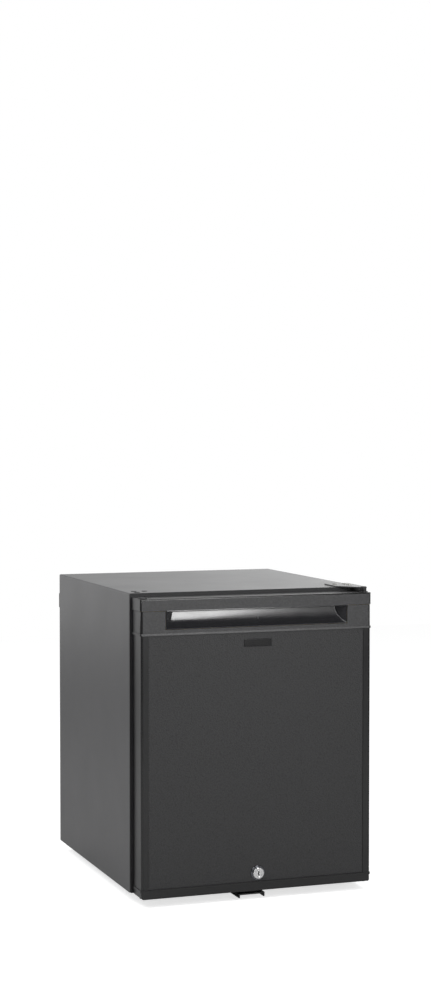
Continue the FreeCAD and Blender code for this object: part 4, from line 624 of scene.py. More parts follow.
def new_jig(name, **inputs):
    """An empty node tree with named inputs: its tree, its input sockets and its output node."""
    tree = bpy.data.node_groups.new(name, "GeometryNodeTree")
    tree.interface.new_socket("Geometry", in_out="INPUT", socket_type="NodeSocketGeometry")
    tree.interface.new_socket("Finish", in_out="INPUT", socket_type="NodeSocketMaterial")
    for label, value in inputs.items():
        socket = tree.interface.new_socket(label, in_out="INPUT", socket_type=SOCKETS[type(value)])
        socket.default_value = value
    tree.interface.new_socket("Geometry", in_out="OUTPUT", socket_type="NodeSocketGeometry")
    return tree, add(tree, "NodeGroupInput").outputs, add(tree, "NodeGroupOutput")


def finish_jig(tree, given, result, *parts):
    """Join the parts, make instances real, paint them and send them out."""
    joined = add(tree, "GeometryNodeJoinGeometry", {"Geometry": list(parts)})
    real = add(tree, "GeometryNodeRealizeInstances", {"Geometry": joined})
    painted = add(tree, "GeometryNodeSetMaterial", {"Geometry": real, "Material": given["Finish"]})
    tree.links.new(painted.outputs["Geometry"], result.inputs["Geometry"])
    return tree


def grown(name, tree, finish, points=(), **values):
    """Run a jig on some points in metres and keep the result as a plain mesh object."""
    seeds = bpy.data.meshes.new(name + "_points")
    seeds.from_pydata([tuple(point) for point in points], [], [])
    item = shown(name + "_points", seeds)
    jig = item.modifiers.new("Jig", "NODES")
    jig.node_group = tree
    for socket in tree.interface.items_tree:
        if socket.in_out == "INPUT" and socket.name in values:
            jig[socket.identifier] = values[socket.name]
        elif socket.in_out == "INPUT" and socket.name == "Finish":
            jig[socket.identifier] = finish
    return settled(item, name)


print("jig helpers ready")

# %% [markdown]
# ## Screws with a cross recess
# The hinges, feet, keeper and cooling plate are held by pan-head screws. A pan head is a low
# disc whose rim drops away; the driver's cross is cut out of it with a Boolean. Each screw is
# turned by a random angle about its own axis, because nobody stops a screwdriver at the same
# angle twice. The seed is fixed, so the angles never change.

# %% Screw jig
def screw_jig():
    """A pan-head screw put on every point, facing one way."""
    tree, given, result = new_jig("pan_head_screws", Radius=0.004, Height=0.0012, Shank=0.0025,
                                  Length=0.014, Facing=(0.0, 0.0, 0.0), Seed=3)
    radius, height = given["Radius"], given["Height"]
    disc = add(tree, "GeometryNodeMeshCylinder", {"Vertices": 32, "Fill Segments": 6, "Radius": radius,
                                                  "Depth": height}, fill_type="TRIANGLE_FAN")
    half = add(tree, "ShaderNodeMath", {0: height, 1: 0.5}, operation="MULTIPLY")
    lift = add(tree, "ShaderNodeCombineXYZ", {"Z": half})
    seated = add(tree, "GeometryNodeTransform", {"Geometry": disc, "Translation": lift})

    # The farther out a point of the top lies, the more it drops: a pan's rim.
    spot = add(tree, "GeometryNodeInputPosition")
    flat = add(tree, "ShaderNodeVectorMath", {0: spot, 1: (1.0, 1.0, 0.0)}, operation="MULTIPLY")
    out = add(tree, "ShaderNodeVectorMath", {0: flat}, operation="LENGTH").outputs["Value"]
    share = add(tree, "ShaderNodeMath", {0: out, 1: radius}, operation="DIVIDE")
    cubed = add(tree, "ShaderNodeMath", {0: share, 1: 3.0}, operation="POWER")
    fall = add(tree, "ShaderNodeMath", {0: cubed, 1: height}, operation="MULTIPLY")
    drop = add(tree, "ShaderNodeMath", {0: fall, 1: -0.6}, operation="MULTIPLY")
    lowered = add(tree, "ShaderNodeCombineXYZ", {"Z": drop})
    upper = add(tree, "ShaderNodeSeparateXYZ", {"Vector": spot}).outputs["Z"]
    on_top = add(tree, "FunctionNodeCompare", {"A": upper, "B": half}, operation="GREATER_THAN")
    pan = add(tree, "GeometryNodeSetPosition", {"Geometry": seated, "Selection": on_top,
                                                "Offset": lowered})

    # Two crossed bars cut the driver's recess.
    reach = add(tree, "ShaderNodeMath", {0: radius, 1: 1.15}, operation="MULTIPLY")
    width = add(tree, "ShaderNodeMath", {0: radius, 1: 0.26}, operation="MULTIPLY")
    depth = add(tree, "ShaderNodeMath", {0: height, 1: 1.4}, operation="MULTIPLY")
    crest = add(tree, "ShaderNodeCombineXYZ", {"Z": height})
    bars = []
    for x, y in ((reach, width), (width, reach)):
        size = add(tree, "ShaderNodeCombineXYZ", {"X": x, "Y": y, "Z": depth})
        bar = add(tree, "GeometryNodeMeshCube", {"Size": size})
        bars.append(add(tree, "GeometryNodeTransform", {"Geometry": bar, "Translation": crest}))
    cross = add(tree, "GeometryNodeMeshBoolean", {"Mesh 1": pan, "Mesh 2": bars}, operation="DIFFERENCE")

    # The shank goes down from the seat.
    shank = add(tree, "GeometryNodeMeshCylinder", {"Vertices": 20, "Radius": given["Shank"],
                                                   "Depth": given["Length"]})
    sink = add(tree, "ShaderNodeMath", {0: given["Length"], 1: -0.5}, operation="MULTIPLY")
    below = add(tree, "ShaderNodeCombineXYZ", {"Z": sink})
    sunk = add(tree, "GeometryNodeTransform", {"Geometry": shank, "Translation": below})
    screw = add(tree, "GeometryNodeJoinGeometry", {"Geometry": [cross, sunk]})
    put = add(tree, "GeometryNodeInstanceOnPoints", {"Points": given["Geometry"], "Instance": screw,
                                                     "Rotation": given["Facing"]})
    angle = add(tree, "FunctionNodeRandomValue", {"Min": 0.0, "Max": math.pi / 2, "Seed": given["Seed"]})
    spin = add(tree, "FunctionNodeAxisAngleToRotation", {"Axis": (0.0, 0.0, 1.0),
                                                         "Angle": angle.outputs[1]})
    turned_in = add(tree, "GeometryNodeRotateInstances", {"Instances": put, "Rotation": spin})
    return finish_jig(tree, given, result, turned_in)


SCREW_JIG = screw_jig()
UP = (0.0, 0.0, 0.0)
DOWN = (math.pi, 0.0, 0.0)
FORWARD = (math.pi / 2, 0.0, 0.0)
BACKWARD = (-math.pi / 2, 0.0, 0.0)
print("screw jig:", len(SCREW_JIG.nodes), "nodes")


# %% Screws in the places of the model's screws
def islands(node):
    """The box of each loose part of a solid, as (lowest, highest) corners in metres."""
    skin = bmesh.new()
    skin.from_mesh(frame["nodes"][node].data)
    bmesh.ops.remove_doubles(skin, verts=skin.verts, dist=WELD_MM * MM)
    left = set(skin.verts)
    boxes = []
    while left:
        reached, waiting = set(), [min(left, key=lambda vert: vert.index)]
        while waiting:
            vert = waiting.pop()
            if vert not in reached:
                reached.add(vert)
                waiting += [edge.other_vert(vert) for edge in vert.link_edges]
        left -= reached
        spots = [vert.co for vert in reached]
        boxes.append((Vector([min(s[i] for s in spots) for i in range(3)]),
                      Vector([max(s[i] for s in spots) for i in range(3)])))
    skin.free()
    return boxes


def screws_for(node, name, facing, head_mm, shank_mm):
    """Pan-head screws that stand where the solid's screws stand."""
    axis, side = {UP: (2, 1), DOWN: (2, 0), FORWARD: (1, 0), BACKWARD: (1, 1)}[facing]
    across = (axis + 1) % 3
    points = []
    for box in islands(node):
        seat = (box[0] + box[1]) / 2
        seat[axis] = box[side][axis] + head_mm * MM * (1 - 2 * side)
        points.append(seat)
        radius = (box[1][across] - box[0][across]) / 2
        length = box[1][axis] - box[0][axis] - head_mm * MM
    item = grown(name, SCREW_JIG, FINISHES[slot_of[node]], points, Radius=radius, Height=head_mm * MM,
                 Shank=shank_mm * MM, Length=length, Facing=facing)
    return placed(item, body_of[node], FINISHES[slot_of[node]], slot_of[node], node)


bpy.context.view_layer.update()
# Solid, piece, the way the heads face, and the head's height and the shank's radius in mm.
for screws in (
    ("top_hinge_screws", "hinge_leaf_screws", UP, 1.2, 2.4),
    ("bottom_hinge_screws", "lower_leaf_screws", DOWN, 1.2, 2.4),
    ("foot_screws", "foot_fixing_screws", DOWN, 3.5, 2.9),
    ("lock_strike_screws", "keeper_screws", DOWN, 1.6, 1.9),
    ("cooling_plate_screws", "cooler_screws", FORWARD, 1.8, 1.9),
):
    screws_for(*screws)
print("screws set in five places")


# %% [markdown]
# ## The cabinet
# The outer shell is one folded sheet with tight bends, and the frame round the opening is a
# moulding with a softer edge. The hinge leaf lies on the roof under the same paint, which is
# why it hardly shows; only its nose and pin stand out as dark shapes.

# %% Cabinet shell, frame and fittings
# Solid, piece, the rounding in mm, its steps, and the shortest edge in mm that is rounded. The
# tables further down have the same columns.
CABINET_EDGES = (
    ("outer_wrapper", "cabinet_shell", 0.3, 2, 20.0),
    ("front_frame", "cabinet_front_frame", 0.9, 3, 6.0),
    ("base_panel", "cabinet_floor_sheet", 0.25, 2, 12.0),
    ("rear_panel", "cabinet_rear_sheet", 0.25, 2, 12.0),
    ("top_hinge_plate", "top_hinge_leaf", 0.5, 3, 2.0),
    ("top_hinge_pin", "top_hinge_pivot", 0.3, 2, 0.2),
    ("bottom_hinge_plate", "bottom_hinge_leaf", 0.5, 3, 2.0),
    ("hinge_hole_plugs", "roof_hole_plugs", 0.25, 2, 0.2),
    ("lock_strike", "lock_keeper", 0.5, 3, 3.0),
    ("feet", "rubber_feet", 1.4, 4, 0.4),
    ("wall_spacers", "wall_spacer_blocks", 1.5, 4, 6.0),
)
for row in CABINET_EDGES:
    softened(*row)
print("cabinet edges softened")

# %% [markdown]
# ## The door's corners
# The door wears mouldings along its top, bottom and sides, and their front corners are rounded
# by about three millimetres. From the camera's place each rounded corner mirrors the dark side
# of the room, so a thin dark line runs down the edge of the door: a small radius does more for
# the likeness here than any texture. The rounded faces also get a darker pigment, which is a
# painted reflection of that dark side.

# %% Corner cutters
CORNER_MM = 3.0
CORNER_STEPS = 14
SPARE_MM = 1.0


def quarter_hollow(corner_a, corner_b, side_a, side_b, radius):
    """The outline that takes a square corner off and leaves a quarter-round."""
    centre = (corner_a - side_a * radius, corner_b - side_b * radius)
    turns = [math.pi / 2 * step / CORNER_STEPS for step in range(CORNER_STEPS + 1)]
    arc = [(centre[0] + side_a * radius * math.cos(turn), centre[1] + side_b * radius * math.sin(turn))
           for turn in turns]
    beyond = (corner_a + side_a * SPARE_MM, corner_b + side_b * SPARE_MM)
    return [beyond, (beyond[0], centre[1]), *arc, (centre[0], beyond[1])]


def upright_cutters(half, front, low, high):
    """Cutters for the two upright front corners of a door moulding."""
    return [prism("corner_cutter", quarter_hollow(side * half, front, side, -1, CORNER_MM), "z", low, high)
            for side in (-1, 1)]


def box_mm(node):
    """A solid's box in millimetres."""
    low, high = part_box(node)
    return low / MM, high / MM


cap_low, cap_high = box_mm("door_top_cap")
housing_low, housing_high = box_mm("handle_housing")
strip_low, strip_high = box_mm("door_side_strips")
trim_low, trim_high = box_mm("door_bottom_trim")
print("cap", [round(v, 2) for v in (*cap_low, *cap_high)])
print("housing", [round(v, 2) for v in (*housing_low, *housing_high)])

# %% Polish and painted reflection on the corners
# A face counts as part of a rounding when its normal has turned by so much, and no more.
TURNED = (0.1, 0.985)
BESIDE_MM = 1.5
BEHIND_MM = 0.8


def gloss_and_painted_dark_corners(item):
    """Give the upright front corners, and the cap's top one, more gloss and a darker pigment: the gloss is
    the mould's polish, the darkness a painted reflection.
    """
    mesh = item.data
    mesh.materials.append(corner_gloss_painted_dark)
    half = max(abs(vert.co.x) for vert in mesh.vertices) / MM
    front = min(vert.co.y for vert in mesh.vertices) / MM
    top = max(vert.co.z for vert in mesh.vertices) / MM
    is_cap = top > housing_high.z + SPARE_MM
    for face in mesh.polygons:
        spot, way = face.center / MM, face.normal
        upright = abs(spot.x) > half - CORNER_MM - BESIDE_MM and TURNED[0] < abs(way.x) < TURNED[1]
        crest = is_cap and spot.z > top - CORNER_MM and TURNED[0] < way.z < TURNED[1]
        if spot.y < front + CORNER_MM + BEHIND_MM and way.y < -TURNED[0] and (upright or crest):
            face.material_index = 1


# %% Door mouldings with round corners
LIP_MM = 3.5
TOP_ROUND_MM = 2.2
SILL_Z_MM = 442.7
SILL_HALF_MM = 153.8
SILL_SETBACK_MM = 0.6
SILL_ROUND_MM = 1.2
SLOPE_FOOT_MM = 0.9
SLOPE_DEPTH_MM = 0.55
HAIR_MM = 0.02
OVERLAP_MM = 0.1

front_mm = strip_low.y
top_edge = prism("corner_cutter", quarter_hollow(cap_low.y, cap_high.z, -1, 1, TOP_ROUND_MM), "x",
                 cap_low.x - SPARE_MM, cap_high.x + SPARE_MM)
cap = welded("door_top_cap", "door_cap")
rounded_edges(cap, 0.5, 3, 6.0)
cap = carved(settled(cap, "door_cap"), "door_cap", [
    top_edge, *upright_cutters(cap_high.x, cap_low.y, cap_low.z - SPARE_MM, cap_high.z + SPARE_MM)])
placed(cap, "door", trim_black, "trim_plastic", "door_top_cap")

# The sill under the recess is rounded, and the lip below it leans back a little as it rises.
sill = prism("corner_cutter", quarter_hollow(housing_low.y + SILL_SETBACK_MM, SILL_Z_MM, -1, 1,
                                             SILL_ROUND_MM), "x", -SILL_HALF_MM, SILL_HALF_MM)
slope_foot = housing_low.z + SLOPE_FOOT_MM
slope_head = housing_low.z + LIP_MM + OVERLAP_MM
slope = prism("corner_cutter", [(housing_low.y - SPARE_MM, slope_foot),
                                (housing_low.y - HAIR_MM, slope_foot),
                                (housing_low.y + SLOPE_DEPTH_MM, slope_head),
                                (housing_low.y - SPARE_MM, slope_head)], "x",
              housing_low.x - SPARE_MM, housing_high.x + SPARE_MM)
surround = softened("handle_housing", "handle_surround", 0.4, 3, 6.0, [
    sill, slope,
    *upright_cutters(strip_high.x, front_mm, housing_low.z + LIP_MM, housing_high.z + SPARE_MM),
    *upright_cutters(housing_high.x, housing_low.y, housing_low.z - SPARE_MM, housing_low.z + LIP_MM)])
strips = softened("door_side_strips", "door_edge_strips", 0.4, 3, 6.0,
                  upright_cutters(strip_high.x, front_mm, strip_low.z - SPARE_MM, strip_high.z + SPARE_MM),
                  edge_black)
# The foot trim is rounded less than the others, because the lock's cam turns close behind it.
foot = softened("door_bottom_trim", "door_foot_trim", 0.2, 3, 6.0, [
    *upright_cutters(strip_high.x, front_mm, trim_low.z - SPARE_MM, trim_high.z - LIP_MM),
    *upright_cutters(trim_high.x, trim_low.y, trim_high.z - LIP_MM, trim_high.z + SPARE_MM)], edge_black)
for moulding in (cap, surround, strips, foot):
    gloss_and_painted_dark_corners(moulding)

DOOR_EDGES = (
    ("door_panel", "door_front_sheet", 0.2, 2, 6.0),
    ("badge_plate", "badge_blank", 0.35, 3, 0.5),
    ("door_hinge_bushes", "hinge_bushes", 0.3, 2, 0.3),
    ("door_spare_plugs", "spare_hole_plugs", 0.3, 2, 0.3),
)
for row in DOOR_EDGES:
    softened(*row)
print("door mouldings softened")

# %% [markdown]
# ## The painted shade beside the front sheet
# Between the side strips and the front sheet runs a narrow gap, and its shade draws the fine
# dark line that frames the grained sheet. The line is little more than a millimetre wide. A
# near-black bead fills the gap as painted shade, made as two thin prisms with round noses.

# %% Sheet beads
BEAD_MM = 1.3
BEAD_PROUD_MM = 0.25
BEAD_ROOT_MM = 0.4
BEAD_ROUND_MM = 0.24
# Near-black matte finish: painted shade in the gap by the front sheet and in the keyway, and the knob's
# pointer mark.
painted_shade_and_mark_black = moulded("painted_shade_and_mark_black_pvc", "#0a0a0b", "#0e0e0f", 0.6, 0.8, 0.02)


def gap_shade_beads():
    """Two upright near-black beads in the joint between the strips and the front sheet: painted shade of
    the gap.
    """
    panel_low, panel_high = box_mm("door_panel")
    nose, root = panel_low.y - BEAD_PROUD_MM, panel_low.y + BEAD_ROOT_MM
    inner, outer = panel_high.x - BEAD_MM, panel_high.x
    beads = bmesh.new()
    for side in (-1, 1):
        outline = eased([(side * inner, root, 0), (side * inner, nose, BEAD_ROUND_MM),
                         (side * outer, nose, BEAD_ROUND_MM), (side * outer, root, 0)], 4)
        bead = prism("bead", outline, "z", trim_high.z, housing_low.z)
        beads.from_mesh(bead.data)
        bpy.data.objects.remove(bead)
    return placed(from_skin("front_sheet_gap_shade", beads), "door", painted_shade_and_mark_black, "trim_plastic")


gap_shade_beads()
print("beads made")

# %% [markdown]
# ## The handle recess
# The hand goes into a shallow polished trough under the door's cap: a curved wall that rises
# from the lower edge to the back, slanted ends, and a pocket behind the cap where the fingers
# curl. A polished face shows every facet, so the curve isn't borrowed from the solid. It is
# drawn as one long arc of many steps, the ends are filled, the joints between them are rounded,
# and Solidify gives the moulding its wall on the hidden side.

# %% Recess moulding
SCOOP_WALL_MM = 1.5
SCOOP_SLANT_MM = 14.0
SCOOP_RISE_MM = 27.0
SCOOP_ARC_MM = 30.5
SCOOP_LIP_MM = 2.0
SCOOP_SEAM_MM = 0.4
SCOOP_STEPS = 48
JOINT_ROUND_MM = 0.8
SHELL_MM = 1.2


def recess_moulding():
    """The polished trough: an arc, a pocket and slanted ends, with a wall behind them."""
    low, high = box_mm("handle_scoop")
    front, back = low.y, high.y - SCOOP_WALL_MM
    bottom, pocket = low.z + SCOOP_WALL_MM, high.z - SCOOP_WALL_MM
    half_front = high.x - SCOOP_WALL_MM
    slant = SCOOP_SLANT_MM / (back - front)
    lip, seam = front + SCOOP_LIP_MM, cap_low.z - SCOOP_SEAM_MM
    start, stop = Vector((front, bottom)), Vector((back, bottom + SCOOP_RISE_MM))
    span = stop - start
    square = Vector((-span.y, span.x)).normalized()
    centre = (start + stop) / 2 + square * math.sqrt(SCOOP_ARC_MM ** 2 - span.length_squared / 4)
    section = [centre + swung(start - centre, stop - centre, step / SCOOP_STEPS)
               for step in range(SCOOP_STEPS + 1)]
    section += [Vector((back, pocket)), Vector((lip, pocket)), Vector((lip, seam)), Vector((front, seam))]
    skin = bmesh.new()
    rows = []
    for y, z in section:
        half = half_front - slant * (y - front)
        rows.append([skin.verts.new((side * half * MM, y * MM, z * MM)) for side in (-1, 1)])
    for here, there in zip(rows, rows[1:]):
        skin.faces.new((here[0], here[1], there[1], there[0]))
    skin.faces.new([row[0] for row in rows])
    skin.faces.new([row[1] for row in rows])
    bmesh.ops.recalc_face_normals(skin, faces=skin.faces)
    skin.faces.ensure_lookup_table()
    if skin.faces[SCOOP_STEPS // 2].normal.y > 0:
        bmesh.ops.reverse_faces(skin, faces=skin.faces)
    mesh = bpy.data.meshes.new("recess_skin")
    skin.to_mesh(mesh)
    skin.free()
    item = shown("recess_skin", mesh)
    joints = item.modifiers.new("Joints", "BEVEL")
    joints.width = JOINT_ROUND_MM * MM
    joints.segments = 4
    joints.angle_limit = math.radians(20)
    thick = item.modifiers.new("Wall", "SOLIDIFY")
    thick.thickness = SHELL_MM * MM
    thick.use_even_offset = True
    item = settled(item, "handle_trough", 50)
    return placed(item, "door", scoop_black, "scoop_plastic", "handle_scoop")


trough = recess_moulding()
print("trough faces:", len(trough.data.polygons))

# %% [markdown]
# ## The lock
# A cylinder lock sits low in the door: a black-chromed collar pressed against the sheet, a
# satin face ring, and the plug that turns with the key. They are lathe work, so each is an
# outline of radius, depth and rounding spun round the lock's axis. The plug's keyway starts as
# a four-pointed hollow that guides the key into its slot.

# %% Collar and face ring
BORE_MM = 5.58
FACE_MM = 9.2
COLLAR_MM = 12.0
COLLAR_PROUD_MM = 1.5
BARREL_MM = 8.0
REBATE_MM = 0.2

housing_box = box_mm("lock_housing")
plug_box = box_mm("lock_plug")
lock_x = (plug_box[0].x + plug_box[1].x) / 2
lock_z = (plug_box[0].z + plug_box[1].z) / 2
lock_face = housing_box[0].y
lock_end = housing_box[1].y
collar_front = box_mm("door_panel")[0].y - COLLAR_PROUD_MM
rebate = collar_front + REBATE_MM


def lock_collar_and_barrel():
    """Collar with a rolled rim, and the barrel behind it that goes through the sheet."""
    sheet_front = collar_front + COLLAR_PROUD_MM
    outline = eased([(BORE_MM, rebate, 0), (FACE_MM - 0.3, rebate, 0),
                     (FACE_MM + 0.6, rebate, 0.2), (FACE_MM + 1.1, collar_front, 0.3),
                     (COLLAR_MM, collar_front, 1.1), (COLLAR_MM, sheet_front, 0.15),
                     (BARREL_MM, sheet_front, 0), (BARREL_MM, lock_end, 0.4), (BORE_MM, lock_end, 0.3)], 8)
    item = turned("lock_collar_and_barrel", outline, "y", lock_x, lock_z, 128)
    return placed(item, "door", collar_chrome, "lock_chrome", "lock_housing")


def lock_face_ring():
    """The bright ring round the plug, with a rounded rim and a chamfer at its bore."""
    outline = eased([(BORE_MM, rebate, 0), (BORE_MM, lock_face + 0.15, 0),
                     (BORE_MM + 0.4, lock_face, 0.2), (FACE_MM, lock_face, 1.3),
                     (FACE_MM, rebate, 0)], 8)
    item = turned("lock_face_ring", outline, "y", lock_x, lock_z, 128)
    return placed(item, "door", lock_chrome, "lock_chrome")


lock_collar_and_barrel()
lock_face_ring()
print("lock face at", round(lock_face, 2), "collar at", round(collar_front, 2))


# %% Plug with its keyway
PLUG_MM = 5.5
STAR_REACHES_MM = (3.9, 1.15, 2.7, 1.15)
STAR_DEPTH_MM = 0.9
SLOT_HALF_MM = (1.1, 3.5)
SLOT_DEPTH_MM = 6.0
KEYWAY_SHADE_HALF_MM = (1.05, 3.4)
KEYWAY_SHADE_SINK_MM = 1.0
KEYWAY_SHADE_END_MM = 5.9
SQUARE = ((-1, -1), (1, -1), (1, 1), (-1, 1))


def lock_plug_piece():
    """The plug: a turned rod with a four-pointed hollow and the key's slot."""
    outline = eased([(0.0, lock_face, 0), (PLUG_MM, lock_face, 0.35), (PLUG_MM, plug_box[1].y, 0.3),
                     (0.0, plug_box[1].y, 0)], 5)
    item = turned("lock_plug_blank", outline, "y", lock_x, lock_z, 96)
    points = []
    for step, reach in enumerate(STAR_REACHES_MM * 2):
        turn = math.pi / 2 - math.tau * step / 8
        points.append((lock_x + reach * math.cos(turn), lock_z + reach * math.sin(turn)))
    hollow = prism("hollow_cutter", points, "y", lock_face - SPARE_MM, lock_face + STAR_DEPTH_MM)
    corners = [(lock_x + sx * SLOT_HALF_MM[0], lock_z + sz * SLOT_HALF_MM[1], 0.4) for sx, sz in SQUARE]
    slot = prism("slot_cutter", eased(corners, 3), "y", lock_face - SPARE_MM, lock_face + SLOT_DEPTH_MM)
    item = carved(item, "lock_plug_and_keyway", (hollow, slot))
    return placed(item, "lock", lock_chrome, "lock_chrome", "lock_plug")


def keyway_shadow():
    """A black plate deep in the slot: painted shade, where a real lock's wafers sit in the dark."""
    corners = [(lock_x + sx * KEYWAY_SHADE_HALF_MM[0], lock_z + sz * KEYWAY_SHADE_HALF_MM[1], 0.3) for sx, sz in SQUARE]
    item = prism("keyway_painted_shade", eased(corners, 3), "y", lock_face + KEYWAY_SHADE_SINK_MM,
                 lock_face + KEYWAY_SHADE_END_MM)
    return placed(item, "lock", painted_shade_and_mark_black, "lock_chrome")


lock_plug_piece()
keyway_shadow()
softened("lock_nut", "lock_clamp_nut", 0.4, 2, 0.5)
softened("lock_cam", "lock_cam_arm", 0.3, 2, 1.5)
print("lock made")

# %% [markdown]
# ## The magnetic gasket
# Round the door's back runs a soft profile with a magnet inside. It is extruded as a long
# strip, cut at forty-five degrees and welded at the corners. So its outline is carried round a
# rectangle: each point of the outline becomes a rectangle of its own, set in by the point's
# distance, and neighbouring rectangles are joined by faces that meet in true mitres.

# %% Mitred gasket
def mitred_ring(name, outer_low, outer_high, outline):
    """An outline of (inset, y) carried round a rectangle in the XZ plane, with mitred corners."""
    skin = bmesh.new()
    loops = []
    for inset, y in outline:
        x_low, x_high = outer_low.x + inset, outer_high.x - inset
        z_low, z_high = outer_low.z + inset, outer_high.z - inset
        spots = ((x_low, z_low), (x_high, z_low), (x_high, z_high), (x_low, z_high))
        loops.append([skin.verts.new((x * MM, y * MM, z * MM)) for x, z in spots])
    for here, there in zip(loops, loops[1:] + loops[:1]):
        for near in range(4):
            far = (near + 1) % 4
            skin.faces.new((here[near], here[far], there[far], there[near]))
    return from_skin(name, skin)


GASKET_FOOT_MM = (1.5, 11.5)
GASKET_HEAD_MM = (0.0, 13.0)
GASKET_SEAT_MM = 4.0
GROOVES_MM = (3.0, 6.5, 10.0)
GROOVE_HALF_MM = 0.4
GROOVE_DEPTH_MM = 0.35


def gasket_profile():
    """The gasket's outline: a foot in the door's groove and a grooved sealing head."""
    low, high = box_mm("door_gasket")
    seat = low.y + GASKET_SEAT_MM
    (foot_out, foot_in), (head_out, head_in) = GASKET_FOOT_MM, GASKET_HEAD_MM
    corners = [(foot_out, low.y, 0.5), (foot_out, seat, 0), (head_out, seat, 0.3), (head_out, high.y, 0.7)]
    for start in GROOVES_MM:
        corners += [(start - GROOVE_HALF_MM, high.y, 0.1), (start, high.y - GROOVE_DEPTH_MM, 0.1),
                    (start + GROOVE_HALF_MM, high.y, 0.1)]
    corners += [(head_in, high.y, 0.7), (head_in, seat, 0.3), (foot_in, seat, 0), (foot_in, low.y, 0.5)]
    return low, high, eased(corners, 4)


gasket_low, gasket_high, gasket_outline = gasket_profile()
gasket = mitred_ring("magnetic_gasket", gasket_low, gasket_high, gasket_outline)
placed(gasket, "door", gasket_pvc, "gasket_rubber", "door_gasket")
print("gasket ring points:", len(gasket_outline))

# %% [markdown]
# ## Inside: liner, racks and control housing
# The liner and the door's inner skin are vacuum-drawn, so their inner corners are generous and
# their rims roll over. The racks are injection-moulded and keep finer edges. All of them get
# their own radius from the same softener.

# %% Liner and mouldings inside
INSIDE_EDGES = (
    ("inner_liner", "cabinet_liner", 0.7, 3, 8.0),
    ("door_liner", "door_inner_skin", 0.8, 3, 8.0),
    ("upper_rack", "egg_rack", 0.7, 3, 2.0),
    ("middle_rack", "can_rack", 0.7, 3, 2.0),
    ("lower_rack", "bottle_rack", 0.7, 3, 2.0),
    ("control_housing", "lamp_and_control_housing", 0.9, 3, 4.0),
    ("lamp_lens", "lamp_cover", 0.4, 2, 2.0),
    ("drip_channel", "drip_gutter", 0.5, 3, 3.0),
    ("cooling_plate", "finned_cold_plate", 0.35, 2, 6.0),
)
for row in INSIDE_EDGES:
    softened(*row)
print("inside mouldings softened")

# %% [markdown]
# ## The temperature knob
# The knob is a fluted disc with a finger bar across its face and a pointer line. The flutes
# follow a rule, a cosine round the rim, so Geometry Nodes move the wall of a plain cylinder by
# that rule and roll its front edge over.

# %% Fluted disc jig
def flute_jig():
    """A disc whose wall waves in and out; its front edge is rolled."""
    tree, given, result = new_jig("fluted_disc", Radius=0.012, Length=0.011, Flutes=30, Depth=0.0005,
                                  Roll=0.0015, Seat=(0.0, 0.0, 0.0), Facing=(0.0, 0.0, 0.0))
    radius, length, roll = given["Radius"], given["Length"], given["Roll"]
    corners = add(tree, "ShaderNodeMath", {0: given["Flutes"], 1: 8.0}, operation="MULTIPLY")
    disc = add(tree, "GeometryNodeMeshCylinder", {"Vertices": corners, "Side Segments": 16,
                                                  "Fill Segments": 8, "Radius": radius,
                                                  "Depth": length}, fill_type="TRIANGLE_FAN")
    spot = add(tree, "GeometryNodeInputPosition")
    split = add(tree, "ShaderNodeSeparateXYZ", {"Vector": spot}).outputs

    # A cosine of the angle round the axis goes from the rim down to the flutes' floor.
    angle = add(tree, "ShaderNodeMath", {0: split["Y"], 1: split["X"]}, operation="ARCTAN2")
    phase = add(tree, "ShaderNodeMath", {0: angle, 1: given["Flutes"]}, operation="MULTIPLY")
    wave = add(tree, "ShaderNodeMath", {0: phase}, operation="COSINE")
    inward = add(tree, "ShaderNodeMath", {0: wave, 1: 1.0}, operation="SUBTRACT")
    half_depth = add(tree, "ShaderNodeMath", {0: given["Depth"], 1: 0.5}, operation="MULTIPLY")
    wave_in = add(tree, "ShaderNodeMath", {0: inward, 1: half_depth}, operation="MULTIPLY")

    # Near the front the wall moves in by the square of how far it is into the rolled edge.
    half_length = add(tree, "ShaderNodeMath", {0: length, 1: 0.5}, operation="MULTIPLY")
    past = add(tree, "ShaderNodeMath", {0: split["Z"], 1: half_length}, operation="SUBTRACT")
    rise = add(tree, "ShaderNodeMath", {0: past, 1: roll}, operation="ADD")
    risen = add(tree, "ShaderNodeMath", {0: rise, 1: 0.0}, operation="MAXIMUM")
    share = add(tree, "ShaderNodeMath", {0: risen, 1: roll}, operation="DIVIDE")
    square = add(tree, "ShaderNodeMath", {0: share, 1: 2.0}, operation="POWER")
    bend = add(tree, "ShaderNodeMath", {0: square, 1: -0.6}, operation="MULTIPLY")
    rolled = add(tree, "ShaderNodeMath", {0: bend, 1: roll}, operation="MULTIPLY")

    # Only the points at the rim move, along their own radius.
    flat = add(tree, "ShaderNodeVectorMath", {0: spot, 1: (1.0, 1.0, 0.0)}, operation="MULTIPLY")
    out = add(tree, "ShaderNodeVectorMath", {0: flat}, operation="LENGTH").outputs["Value"]
    near_rim = add(tree, "ShaderNodeMath", {0: radius, 1: 0.99}, operation="MULTIPLY")
    at_rim = add(tree, "ShaderNodeMath", {0: out, 1: near_rim}, operation="GREATER_THAN")
    both = add(tree, "ShaderNodeMath", {0: wave_in, 1: rolled}, operation="ADD")
    way_in = add(tree, "ShaderNodeMath", {0: both, 1: at_rim}, operation="MULTIPLY")
    not_zero = add(tree, "ShaderNodeMath", {0: out, 1: 1e-6}, operation="MAXIMUM")
    move = add(tree, "ShaderNodeMath", {0: way_in, 1: not_zero}, operation="DIVIDE")
    shift = add(tree, "ShaderNodeVectorMath", {0: flat, "Scale": move}, operation="SCALE")
    waved = add(tree, "GeometryNodeSetPosition", {"Geometry": disc, "Offset": shift})
    seated = add(tree, "GeometryNodeTransform", {"Geometry": waved, "Rotation": given["Facing"],
                                                 "Translation": given["Seat"]})
    return finish_jig(tree, given, result, seated)


